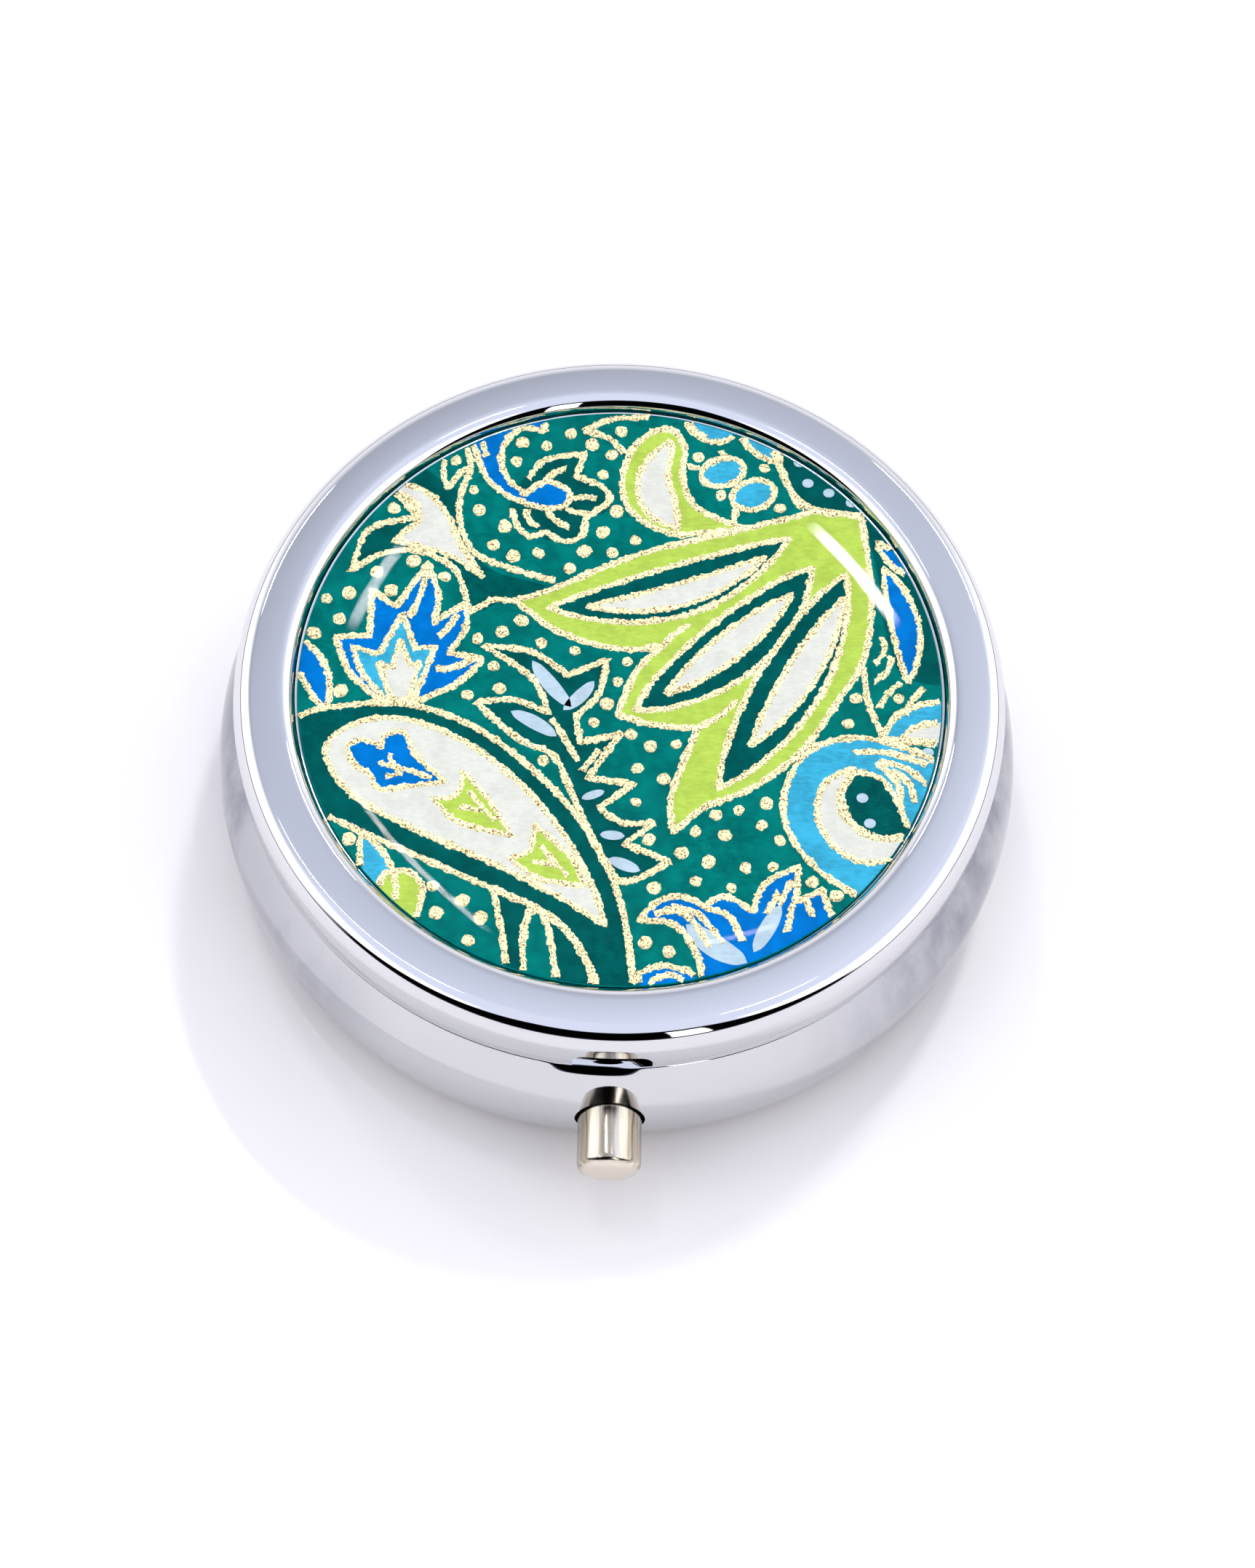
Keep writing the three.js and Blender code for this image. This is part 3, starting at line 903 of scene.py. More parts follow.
@dataclass
class Piece:
    """A finished piece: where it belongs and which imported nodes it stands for."""

    name: str
    body: Body
    slot: Slot
    stands_for: tuple[str, ...] = ()
    sharp_deg: float = 32.0
    weld: float = 1e-4

    def place(self, made: bmesh.types.BMesh, material: bpy.types.Material) -> bpy.types.Object:
        """Cleans a mesh, brings it to metres, dresses it and attaches it to its body.

        Args:
            made: the mesh, in millimetres.
            material: its finish.

        Returns:
            The object.
        """
        bmesh.ops.remove_doubles(made, verts=made.verts, dist=self.weld)
        bmesh.ops.recalc_face_normals(made, faces=made.faces)
        for face in made.faces:
            face.smooth = True
        limit = math.radians(self.sharp_deg)
        for edge in made.edges:
            edge.smooth = edge.calc_face_angle(0.0) < limit
        bmesh.ops.scale(made, verts=made.verts, vec=(MM, MM, MM))
        piece = object_of(made, self.name)
        piece.data.materials.append(material)
        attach(piece, self.body.value)
        if self.stands_for:
            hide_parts(*self.stands_for)
        LOG.info("%s: %d faces on %s", self.name, len(piece.data.polygons), self.body.value)
        return piece


# ---------------------------------------------------------------- base


@dataclass
class BaseCup:
    """The stamped base."""

    radius: float = 24.99
    full_radius: float = 25.0
    widest: float = 5.9
    floor_radius: float = 21.6
    foot_pull: float = 23.2
    foot_steps: int = 8
    foot_power: float = 2.4
    corner: tuple[float, float] = (24.0, 1.3)
    coarse_top: float = 9.2
    seam: float = 10.7
    roll: float = 0.14
    roll_overlap_deg: float = 8.0
    lean_deg: float = 27.0
    upper_drop: float = 1.2
    upper_span: float = 4.4
    upper_power: float = 1.8
    rim_step: float = 0.08
    mouth_radius: float = 22.9
    mouth_edge: float = 0.1
    sheet: float = 0.45
    hole_height: float = 5.8
    hole_radius: float = 2.13
    hole_depth: tuple[float, float] = (-28.0, -22.0)
    hinge_slot: tuple[Point, Point] = ((-5.4, 21.0, 9.0), (5.4, 26.0, 12.0))
    dent: tuple[float, float, float] = (-1.0, 3.2, 1.45)
    dent_top: tuple[float, float] = (22.675, 10.737)
    dent_depth: float = 1.7
    dent_reach: float = 0.92
    dent_powers: tuple[float, float] = (4, 1.5)
    lip_push: tuple[float, float, float] = (-0.15, 2.0, 0.28)
    lip_fade: float = 0.35
    sides: int = 512

    def wall(self, height: float) -> float:
        """Outer radius of the barrel wall.

        Args:
            height: height above the underside.

        Returns:
            The radius.
        """
        if height < self.widest:
            share = (self.widest - height) / (self.widest - self.corner[1])
            return self.radius - (self.full_radius - self.corner[0]) * share ** self.foot_power
        share = (height - self.widest) / self.upper_span
        return self.radius - self.upper_drop * share ** self.upper_power

    def section(self) -> Profile:
        """Returns:
            The cup's half-section.
        """
        lean = math.radians(self.lean_deg)
        end = self.seam - self.roll * (1 - math.sin(lean))
        centre = (self.wall(end) - self.roll * math.cos(lean), self.seam - self.roll)
        low = self.corner[1] + 0.2
        p = Profile().to((0.0, 0.0))
        for i in range(self.foot_steps + 1):
            t = i / self.foot_steps
            first, second, third = (1 - t) ** 2, 2 * t * (1 - t), t * t
            p.to((first * self.floor_radius + second * self.foot_pull + third * self.corner[0],
                  third * self.corner[1]))
        p.curve(self.wall, low, self.coarse_top, 26)
        p.curve(self.wall, self.coarse_top + 0.1, end, 12)
        p.arc(centre, self.roll, self.lean_deg + self.roll_overlap_deg, 90, 8)
        p.to(*((centre[0] - self.rim_step * step, self.seam) for step in range(1, 6)))
        edge = self.mouth_edge
        p.to((self.mouth_radius + edge, self.seam))
        p.arc((self.mouth_radius + edge, self.seam - edge), edge, 100, 180, 3)
        inner_top = self.seam - self.sheet
        p.to((self.mouth_radius, inner_top), (self.wall(inner_top - 0.3) - self.sheet, inner_top - 0.1))
        p.curve(lambda z: self.wall(z) - self.sheet, inner_top - 0.4, low, 20)
        return p.to((self.floor_radius + 0.6, self.sheet + 0.1), (self.floor_radius, self.sheet),
                    (0.0, self.sheet))

    def _press_lip(self, spot: Vector, out: float) -> None:
        """Pushes a point of the mouth's edge outward behind the notch.

        Args:
            spot: the point, which is moved.
            out: its distance from the axis.
        """
        middle, reach, most = self.lip_push
        if abs(spot.x - middle) < reach:
            share = math.cos(math.pi / 2 * (spot.x - middle) / reach) ** 2
            push = most * share * max(0.0, 1 - (out - self.mouth_radius) / self.lip_fade)
            spot.x, spot.y = spot.x * (1 + push / out), spot.y * (1 + push / out)

    def _press_shoulder(self, cup: bmesh.types.BMesh) -> None:
        """Presses the shoulder in a little under the thumbnail notch.

        Args:
            cup: the cup's mesh.
        """
        middle, reach, roll = self.dent
        start, top = self.dent_top
        side_power, end_power = self.dent_powers
        least_out, least_high = self.mouth_radius - self.mouth_edge, self.seam - self.dent_depth
        for vert in cup.verts:
            spot = vert.co
            out = math.hypot(spot.x, spot.y)
            if spot.y > 0 or out < least_out or spot.z < least_high:
                continue
            self._press_lip(spot, out)
            if abs(spot.x - middle) > reach:
                continue
            share = (1 - ((spot.x - middle) / reach) ** side_power) ** end_power
            pressed = top - roll + math.sqrt(max(0.0, roll ** 2 - (out - start) ** 2))
            if pressed < spot.z and out < start + roll * self.dent_reach:
                spot.z -= share * (spot.z - pressed)

    def build(self, plating: bpy.types.Material) -> None:
        """Makes the cup with its button hole and hinge slot.

        Args:
            plating: its finish.
        """
        blank = self.section().turned(self.sides, closed=False)
        front, back = self.hole_depth
        hole = Profile().to((0, front), (self.hole_radius, front), (self.hole_radius, back), (0, back))
        drill = facing_front(hole.turned(64, closed=False), self.hole_height)
        cup = carved(blank, [drill, cuboid(*self.hinge_slot)])
        self._press_shoulder(cup)
        Piece("base_cup", Body.BASE, Slot.PLATED, ("base_shell",)).place(cup, plating)


@dataclass
class Collar:
    """The strip inside the base's mouth that the lid closes over."""

    outer: float = 22.7
    inner: float = 22.3
    low: float = 6.4
    top: float = 13.0
    outer_edge: float = 0.15
    inner_edge: float = 0.1
    latch_relief: tuple[Point, Point] = ((-4.4, -24, 5), (4.4, -20, 9.0))
    hinge_relief: tuple[Point, Point] = ((-6.2, 20, 9.2), (6.2, 24, 14))
    sides: int = 512

    def build(self, plating: bpy.types.Material) -> None:
        """Makes the strip with its reliefs for latch and hinge.

        Args:
            plating: its finish.
        """
        section = Profile().to((self.inner, self.low), (self.outer, self.low))
        section.arc((self.outer - self.outer_edge, self.top - self.outer_edge), self.outer_edge, 0, 90, 4)
        section.arc((self.inner + self.inner_edge, self.top - self.inner_edge), self.inner_edge, 90, 180, 3)
        strip = carved(section.turned(self.sides), [cuboid(*self.latch_relief), cuboid(*self.hinge_relief)])
        Piece("mouth_strip", Body.BASE, Slot.PLATED, ("inner_collar",)).place(strip, plating)


# ---------------------------------------------------------------- lid


@dataclass
class Lid:
    """The stamped lid with its bezel, recess, skirt and thumbnail notch."""

    top: float = 14.8
    bezel_radius: float = 23.52
    outer_roll: float = 1.1
    lower_roll: float = 2.2
    change_deg: float = 32.0
    inner_roll: float = 0.85
    fall: float = 0.045
    well_radius: float = 19.95
    well_floor: float = 13.85
    skirt_radius: float = 23.62
    skirt_low: float = 10.73
    sheet: float = 0.45
    notch_top: tuple[float, float] = (1.5, 12.45)
    notch_low: float = 2.4
    notch_front: float = -25.5
    notch_depth: float = 4.5
    hinge_slot: tuple[Point, Point] = ((-5.4, 21.0, 9.0), (5.4, 26.0, 11.7))
    cut_edge: float = 0.07
    belly: float = 0.035
    well_inner_edge: float = 0.2
    well_edge: float = 0.1
    sides: int = 384

    def _skirt(self, height: float) -> float:
        """Outer radius of the skirt, which bellies a little below the roll.

        Args:
            height: height above the box's underside.

        Returns:
            The radius.
        """
        centre, start = self._lower_centre(), self.belly
        top = centre[1] + self.lower_roll * start
        below, span = max(0.0, top - height), top - self.skirt_low
        first = centre[0] + self.lower_roll
        return first + start * below - (first + start * span - self.skirt_radius) * (below / span) ** 2

    def _lower_centre(self) -> tuple[float, float]:
        """Centre of the softer lower part of the outer roll."""
        turn, extra = math.radians(self.change_deg), self.lower_roll - self.outer_roll
        return (self.bezel_radius - self.outer_roll - extra * math.cos(turn),
                self.top - self.outer_roll - extra * math.sin(turn))

    def section(self) -> Profile:
        """Returns:
            The lid's half-section.
        """
        under = self.top - self.sheet
        edge, inner, foot = self.cut_edge, self.well_inner_edge, self.well_edge
        flat_out = self.bezel_radius - self.outer_roll
        flat_in = self.well_radius + self.inner_roll
        roll_height = self.top - self.outer_roll
        well_under, well_out = self.well_floor - self.sheet, self.well_radius + self.sheet
        p = Profile().to((0.0, well_under))
        p.arc((well_out - inner, well_under + inner), inner, 270, 360, 4)
        p.to((well_out, self.top - self.inner_roll))
        p.to((flat_in + 0.1, under), (flat_out, under))
        p.arc((flat_out, roll_height), self.outer_roll - self.sheet, 80, 0, 5)
        p.curve(lambda z: self._skirt(z) - self.sheet, roll_height - 0.3, self.skirt_low + 0.3, 8)
        p.to((self.skirt_radius - self.sheet, self.skirt_low))
        p.arc((self._skirt(self.skirt_low + edge) - edge, self.skirt_low + edge), edge, 270, 360, 5)
        lower = self._lower_centre()
        p.curve(self._skirt, self.skirt_low + edge + 0.1, lower[1], 16)
        p.arc(lower, self.lower_roll, 3, self.change_deg, 8)
        p.arc((flat_out, roll_height), self.outer_roll, self.change_deg + 3, 90, 16)
        p.to((flat_in + 0.2, self.top + self.fall * (flat_out - flat_in - 0.2)))
        p.arc((flat_in, self.top - self.inner_roll + self.fall), self.inner_roll, 90, 180, 14)
        p.arc((self.well_radius - foot, self.well_floor + foot), foot, 0, -90, 4)
        return p.to((0.0, self.well_floor))

    def build(self, plating: bpy.types.Material) -> None:
        """Makes the lid.

        Args:
            plating: its finish.
        """
        half, height = self.notch_top
        low, corner = self.notch_low, self.notch_low - half
        right = [(low, self.skirt_low - 1)]
        right += [(half + corner * math.cos(turn), height - corner * (1 - math.sin(turn)))
                  for turn in (math.pi / 2 * i / 8 for i in range(9))]
        front = self.notch_front
        outline = [(x, front, z) for x, z in right] + [(-x, front, z) for x, z in reversed(right)]
        notch = prism(outline, (0, self.notch_depth, 0))
        shell = carved(self.section().turned(self.sides, closed=False), [notch, cuboid(*self.hinge_slot)])
        Piece("lid_cap", Body.LID, Slot.PLATED, ("lid_shell",)).place(shell, plating)


@dataclass
class Dome:
    """The clear resin poured over the paper, flat in the middle and falling off near its edge."""

    radius: float = 19.75
    low: float = 14.1
    edge: float = 0.4
    rise: float = 1.0
    power: float = 3.0
    foot: float = 0.05
    round_by: float = 0.14
    steps: int = 30
    crowding: float = 0.75
    sides: int = 192

    def build(self, resin: bpy.types.Material) -> None:
        """Makes the resin dome.

        Args:
            resin: its finish.
        """
        rim = self.low + self.edge
        across = self.radius - self.round_by
        p = Profile().to((0.0, self.low), (self.radius - self.foot, self.low))
        p.to((self.radius, self.low + self.foot))
        p.arc((across, rim - self.round_by), self.round_by, 0, 60, 4)
        for i in range(1, self.steps + 1):
            share = math.cos(math.pi / 2 * i / self.steps) ** self.crowding
            p.to((across * share, rim + self.rise * (1 - share ** self.power)))
        piece = Piece("resin_dome", Body.LID, Slot.RESIN, ("clear_dome",), 80.0)
        piece.place(p.turned(self.sides, closed=False), resin)


# ---------------------------------------------------------------- picture


class Tone(Enum):
    """The inks of the picture."""

    GROUND = "ground"
    DEEP = "deep"
    LIME = "lime"
    SILVER = "silver"
    COBALT = "cobalt"
    TURQUOISE = "turquoise"
    PALE = "pale"
    GOLD = "gold"


def flowing(points: Sequence[Point], closed: bool, spacing: float = 0.125) -> list[Vector]:
    """A smooth line through points; a point with a third value of 1 is a corner.

    Args:
        points: (x, y) or (x, y, 1) in order.
        closed: joins the end to the start.
        spacing: distance between the points of the result.

    Returns:
        The line as evenly spaced points.
    """
    spots = [Vector(p[:2]) for p in points]
    corner = [len(p) > 2 for p in points]
    count = len(spots)
    line: list[Vector] = []
    spans = count if closed else count - 1
    for i in range(spans):
        j = (i + 1) % count
        a, b = spots[i], spots[j]
        before = spots[i - 1] if (closed or i > 0) and not corner[i] else a - (b - a) * 0.3
        after = spots[(j + 1) % count] if (closed or j < count - 1) and not corner[j] else b + (b - a) * 0.3
        steps = max(2, round((b - a).length / spacing))
        for k in range(steps):
            t = k / steps
            line.append(0.5 * (2 * a + (b - before) * t + (2 * before - 5 * a + 4 * b - after) * t * t
                               + (3 * a - before - 3 * b + after) * t ** 3))
    if not closed:
        line.append(spots[-1])
    return line


def leaf(tip: Point, root: Point, half_width: float, bend: float = 0.0,
         fullness: float = 0.8) -> list[Point]:
    """A pointed leaf between two corners.

    Args:
        tip: one end.
        root: the other end.
        half_width: half its width.
        bend: how far its middle line bows to the left of the way from tip to root.
        fullness: below 1 for a blunt leaf, above 1 for a slim one.

    Returns:
        Its outline for flowing().
    """
    a, b = Vector(tip), Vector(root)
    side = Vector((-(b - a).y, (b - a).x)).normalized()
    shares = (0.12, 0.3, 0.5, 0.7, 0.88)
    spine = [a.lerp(b, t) + side * bend * 4 * t * (1 - t) for t in shares]
    swell = [half_width * math.sin(math.pi * t) ** fullness for t in shares]
    there = [tuple(spot + side * w) for spot, w in zip(spine, swell)]
    back = [tuple(spot - side * w) for spot, w in zip(spine, swell)]
    return [(*a, 1), *there, (*b, 1), *reversed(back)]


def oval(centre: Point, long: float, short: float, turn_deg: float) -> list[Point]:
    """An oval outline.

    Args:
        centre: its centre.
        long: half its length.
        short: half its width.
        turn_deg: direction of its length.

    Returns:
        Its outline for flowing().
    """
    turn = Matrix.Rotation(math.radians(turn_deg), 2)
    ring = [(long * math.cos(a), short * math.sin(a)) for a in (math.tau * i / 10 for i in range(10))]
    return [tuple(Vector(centre) + turn @ Vector(spot)) for spot in ring]


@dataclass(frozen=True)
class Motif:
    """A filled shape of the picture with or without a gold outline."""

    tone: Tone
    outline: Sequence[Point]
    level: int = 1
    trimmed: bool = True


@dataclass
class Picture:
    """The printed paper: flat coloured inks with raised gold outlines and dots."""

    radius: float = 19.75
    low: float = 13.9
    paper: float = 0.1
    film: float = 0.01
    line_width: float = 0.43
    dot_radius: float = 0.41
    dot_pitch: float = 1.42
    dot_margin: float = 0.66
    dot_step: float = 0.5
    dot_sizes: Span = (0.82, 1.14)
    dot_lengths: Span = (0.85, 1.1)
    dot_roughness: float = 0.032
    dot_tries: int = 9000
    gold_height: float = 0.055
    line_swell: Span = (0.66, 1.34)
    line_grain: Span = (0.7, 1.24)
    line_memory: float = 0.6
    line_wander: float = 0.03
    film_share: float = 0.3
    least_step: float = 0.02
    turn_deg: float = 1.4
    sides: int = 160
    seed: int = 11
    lines: list[tuple[list[Vector], bool]] = field(default_factory=list)

    @staticmethod
    def motifs() -> list[Motif]:
        """Returns:
            The filled shapes, from the ground up.
        """
        deep, lime, silver = Tone.DEEP, Tone.LIME, Tone.SILVER
        cobalt, turquoise, pale = Tone.COBALT, Tone.TURQUOISE, Tone.PALE
        hand = [(15.2, 12.3, 1), (12.6, 12.7), (10.4, 12.1), (6.4, 11.0), (2.0, 9.8), (-1.6, 8.3),
                (-4.2, 7.0),
                (-6.5, 6.2, 1), (-4.2, 4.3), (-2.0, 3.3), (0.5, 2.8), (2.6, 3.1, 1), (1.0, 1.3),
                (-0.2, -1.7, 1),
                (2.2, -2.4), (4.7, -2.6, 1), (3.7, -5.2), (3.0, -7.4), (3.1, -9.7, 1), (5.0, -8.0),
                (8.0, -6.6),
                (11.0, -4.1), (13.4, -0.6), (15.0, 2.2), (15.6, 5.8), (15.5, 9.4)]
        curl = [(8.0, 11.4, 1), (6.0, 12.2), (4.5, 13.4), (4.0, 15.4), (4.2, 17.1), (3.6, 18.4),
                (2.4, 18.5),
                (1.0, 17.3), (0.3, 15.4), (0.4, 13.4), (1.6, 11.8), (3.6, 10.9, 1)]
        drop_band = [(-19.6, -2.0), (-17.0, -1.2), (-13.4, -1.0), (-9.4, -2.3), (-5.6, -5.2), (-2.4, -9.0),
                     (-0.4, -13.2), (0.4, -17.0), (0.6, -20.5, 1), (-1.7, -20.5, 1), (-2.2, -18.0),
                     (-4.2, -15.3),
                     (-7.8, -13.4), (-12.6, -11.1), (-16.4, -9.3), (-18.6, -7.8), (-20.2, -5.0)]
        drop = [(-17.9, -4.4), (-16.6, -2.6), (-13.6, -2.0), (-9.8, -3.4), (-6.4, -6.1), (-3.6, -9.6),
                (-1.9, -12.9), (-1.0, -15.8, 1), (-3.6, -14.0), (-8.0, -11.6), (-12.6, -9.4), (-16.2, -7.2)]
        lotus = [(-14.6, -0.9, 1), (-16.6, 1.2), (-17.5, 3.6, 1), (-15.4, 3.7, 1), (-15.3, 6.9, 1),
                 (-13.8, 5.7, 1), (-11.9, 8.8, 1), (-11.2, 6.4), (-11.5, 4.6, 1), (-9.5, 6.0, 1),
                 (-9.5, 4.3),
                 (-10.5, 2.5, 1), (-8.4, 2.1, 1), (-10.0, 0.4), (-12.6, -0.9, 1)]
        lotus_mid = [(-14.4, -0.7, 1), (-15.9, 1.3), (-16.4, 2.9, 1), (-14.8, 2.4, 1), (-13.4, 5.2, 1),
                     (-12.6, 2.8, 1), (-11.4, 2.9, 1), (-12.0, 1.0), (-12.7, -0.8, 1)]
        flame = [(-14.0, -0.8, 1), (-14.8, 1.7, 1), (-14.0, 1.4, 1), (-13.5, 3.4, 1), (-12.9, 1.6, 1),
                 (-12.3, 1.8, 1), (-13.0, -0.8, 1)]
        wave = [(-9.2, 19.5), (-8.9, 16.6), (-8.0, 14.6), (-6.4, 13.4), (-4.6, 12.8), (-3.3, 13.1),
                (-3.2, 14.1),
                (-4.6, 14.7), (-5.9, 13.8, 1), (-7.0, 15.0), (-7.4, 16.4), (-7.0, 17.8), (-6.0, 18.6),
                (-4.6, 18.4, 1), (-5.2, 20.5)]
        petals = [(-6.9, 12.9, 1), (-6.4, 11.5), (-5.2, 11.2, 1), (-4.6, 10.5), (-3.3, 10.6, 1),
                  (-2.2, 10.9),
                  (-1.9, 12.2, 1), (-0.8, 12.6), (-0.6, 13.9), (-2.2, 14.9, 1), (-2.1, 16.7, 1),
                  (-4.2, 16.5),
                  (-5.9, 15.0), (-6.6, 13.7)]
        horn = [(-14.2, 14.6, 1), (-12.2, 14.0), (-10.8, 12.4), (-9.8, 10.0), (-8.5, 7.9, 1), (-10.6, 9.4),
                (-14.0, 10.4, 1), (-12.4, 11.9, 1), (-12.8, 13.2), (-14.6, 14.4, 1)]
        shield = [(-14.9, 14.2, 1), (-12.6, 12.0, 1), (-15.8, 11.0), (-16.9, 8.2, 1), (-14.6, 9.6),
                  (-12.2, 9.6), (-9.9, 8.0), (-9.2, 5.4), (-7.0, 6.3), (-4.6, 7.2), (-7.8, 8.3),
                  (-9.6, 10.6),
                  (-9.9, 13.6), (-10.9, 14.6), (-12.9, 15.8)]
        half_round = [(9.9, 18.4), (10.3, 15.6), (11.2, 13.6), (12.9, 12.6), (15.3, 12.4, 1),
                      (18.0, 12.0, 1),
                      (16.0, 17.0)]
        thorns = [(-8.3, 3.0, 1), (-5.4, 2.6), (-3.2, 1.0, 1), (-0.8, 2.1, 1), (-1.3, -0.2),
                  (-2.7, -1.8, 1),
                  (-2.5, -3.6, 1), (0.0, -3.0, 1), (-2.0, -6.0, 1), (0.8, -6.4, 1), (-1.3, -8.0, 1),
                  (0.0, -9.0), (2.0, -9.0, 1), (0.2, -10.4, 1), (2.9, -11.6, 1), (0.2, -12.9),
                  (-1.2, -11.2),
                  (-3.0, -7.0), (-4.1, -4.5), (-6.2, -3.4), (-8.8, -0.9, 1), (-6.6, -0.7), (-4.4, -1.6, 1),
                  (-5.4, 0.8)]
        crescent = [(19.6, -5.0, 1), (17.6, -4.0), (14.6, -3.2), (11.8, -3.9), (10.2, -6.0), (9.9, -9.0),
                    (11.6, -11.9), (14.4, -14.0, 1), (17.0, -11.6, 1), (18.4, -8.0, 1)]
        crescent_core = [(14.2, -5.2, 1), (12.3, -6.4), (11.9, -8.8), (13.2, -10.9), (15.4, -11.6),
                         (17.6, -9.9, 1), (15.2, -10.0), (13.8, -9.0, 1), (13.3, -8.4, 1), (13.2, -7.0, 1)]
        crescent_eye = [(14.3, -5.5, 1), (13.3, -7.0, 1), (13.6, -8.2, 1), (13.9, -8.9, 1), (15.4, -9.9),
                        (17.4, -9.7, 1), (16.6, -7.4), (15.8, -6.0)]
        tuft = [(1.0, -15.4, 1), (2.2, -14.2), (3.6, -13.9), (4.9, -14.5, 1), (6.2, -13.9), (7.8, -14.8, 1),
                (8.6, -13.0), (10.6, -11.9, 1), (10.4, -14.2, 1), (12.0, -13.4, 1), (12.6, -15.4, 1),
                (9.0, -18.6), (4.8, -19.8, 1), (4.4, -17.6), (3.2, -15.8)]
        return [
            Motif(deep, shield, 0, False), Motif(deep, drop_band, 0), Motif(deep, half_round, 0),
            Motif(deep, [(15.4, 12.4, 1), (17.6, 9.6), (19.6, 5.0), (20.0, 1.0), (19.2, 0.4, 1),
                         (17.4, 1.4),
                         (16.4, 6.0)], 0, False),
            Motif(deep, thorns, 0), Motif(deep, petals, 0, False),
            Motif(lime, hand), Motif(lime, curl),
            Motif(silver, [(3.4, 17.6), (2.2, 16.8), (1.3, 15.2), (1.3, 13.4), (2.2, 12.1), (3.7, 11.3, 1),
                           (3.5, 13.4), (3.1, 15.4)], 2),
            Motif(deep, leaf((-4.4, 5.7), (10.6, 10.7), 1.75, -1.35), 2),
            Motif(silver, leaf((-2.0, 5.8), (9.1, 9.4), 0.76, -0.95), 3),
            Motif(deep, leaf((0.9, -1.4), (12.0, 8.6), 2.0, -0.8, 0.7), 2),
            Motif(silver, leaf((2.8, -0.3), (10.7, 6.7), 0.9, -0.1), 3),
            Motif(deep, leaf((5.9, -6.7), (14.1, 8.2), 2.0, -0.5, 0.75), 2),
            Motif(silver, leaf((7.9, -3.8), (13.9, 6.5), 0.95, -0.3), 3),
            Motif(silver, drop, 2),
            Motif(cobalt, [(-10.6, -6.3, 1), (-12.4, -4.6), (-13.2, -3.0), (-14.3, -3.2), (-14.5, -4.0, 1),
                           (-15.6, -3.5), (-16.6, -4.0), (-16.1, -5.2), (-15.2, -5.8), (-14.6, -6.8),
                           (-12.8, -6.6)], 3),
            Motif(lime, [(-6.6, -9.9, 1), (-8.1, -7.4), (-9.6, -5.6, 1), (-9.9, -7.2), (-11.3, -7.5, 1),
                         (-9.8, -9.0)], 3),
            Motif(lime, [(-2.3, -13.2, 1), (-3.0, -11.4), (-5.2, -9.2, 1), (-5.5, -10.9), (-6.7, -11.4, 1),
                         (-5.0, -12.7)], 3),
            Motif(cobalt, lotus), Motif(turquoise, lotus_mid, 2), Motif(silver, flame, 3),
            Motif(cobalt, leaf((-18.0, -1.4), (-19.9, 3.6), 0.8, -0.2)),
            Motif(cobalt, wave), Motif(silver, horn, 2),
            *(Motif(turquoise, oval(*shape)) for shape in (
                ((6.55, 15.5), 1.4, 0.98, 20), ((8.45, 13.85), 1.4, 1.02, 25),
                ((6.0, 18.6), 1.3, 0.9, -15), ((9.0, 17.3), 1.5, 0.5, -40))),
            Motif(deep, leaf((17.7, 0.3), (16.4, 8.8), 1.2, -0.5, 0.7), 1, False),
            Motif(cobalt, leaf((17.7, 0.6), (16.5, 8.6), 0.85, -0.55, 0.75), 2),
            Motif(cobalt, leaf((16.1, 10.5), (18.0, 8.1), 0.36)),
            Motif(turquoise, crescent), Motif(silver, crescent_core, 2), Motif(deep, crescent_eye, 3),
            Motif(turquoise, [(15.9, -3.3, 1), (17.0, -1.6), (19.0, -0.8), (21.0, -0.9), (20.6, -4.0),
                              (18.2, -3.4)]),
            Motif(silver, [(17.0, -3.4, 1), (18.2, -2.4), (20.6, -2.2), (20.6, -3.4), (18.6, -3.5)], 2),
            Motif(cobalt, tuft),
            *(Motif(pale, leaf(tip, root, half, bend, 0.5), 2, False) for tip, root, half, bend in (
                ((3.8, -15.7), (7.4, -18.2), 0.72, -0.2), ((7.8, -17.5), (9.5, -14.4), 0.48, 0.0),
                ((-5.4, 2.0), (-3.0, -1.2), 0.48, -0.1), ((-1.6, 0.6), (-3.5, -1.4), 0.42, 0.1),
                ((-6.7, -1.5), (-3.9, -3.2), 0.45, 0.1), ((-2.4, -7.4), (-1.0, -6.9), 0.27, 0.0),
                ((-1.3, -9.8), (0.2, -9.9), 0.31, 0.0), ((-0.8, -11.4), (1.1, -12.2), 0.38, 0.0))),
            Motif(cobalt, [(0.9, -19.0, 1), (2.2, -18.4), (4.0, -18.7, 1), (4.4, -19.8), (1.4, -20.2)]),
            Motif(turquoise, leaf((-15.6, -9.8), (-13.6, -14.6), 0.85)),
            Motif(lime, [(-14.2, -12.4, 1), (-12.8, -12.3), (-11.9, -13.4), (-12.4, -15.8, 1),
                         (-14.6, -14.4)], 2),
            Motif(deep, [(-7.7, -13.3, 1), (-7.1, -16.6), (-6.7, -20.4, 1), (-1.4, -20.4, 1), (-2.0, -18.2),
                         (-4.0, -15.4)], 0),
            Motif(Tone.GROUND, [(-5.8, -19.6, 1), (-5.9, -16.4), (-5.3, -14.6), (-4.4, -16.0),
                                (-3.8, -20.0, 1)]),
            *(Motif(pale, oval(spot, 0.36, 0.32, 0), 4, False) for spot in
              ((11.4, 16.2), (11.9, 14.7), (13.2, 14.0), (14.6, 13.3),
               (14.6, -7.3), (15.0, -9.0), (18.7, -4.2))),
        ]

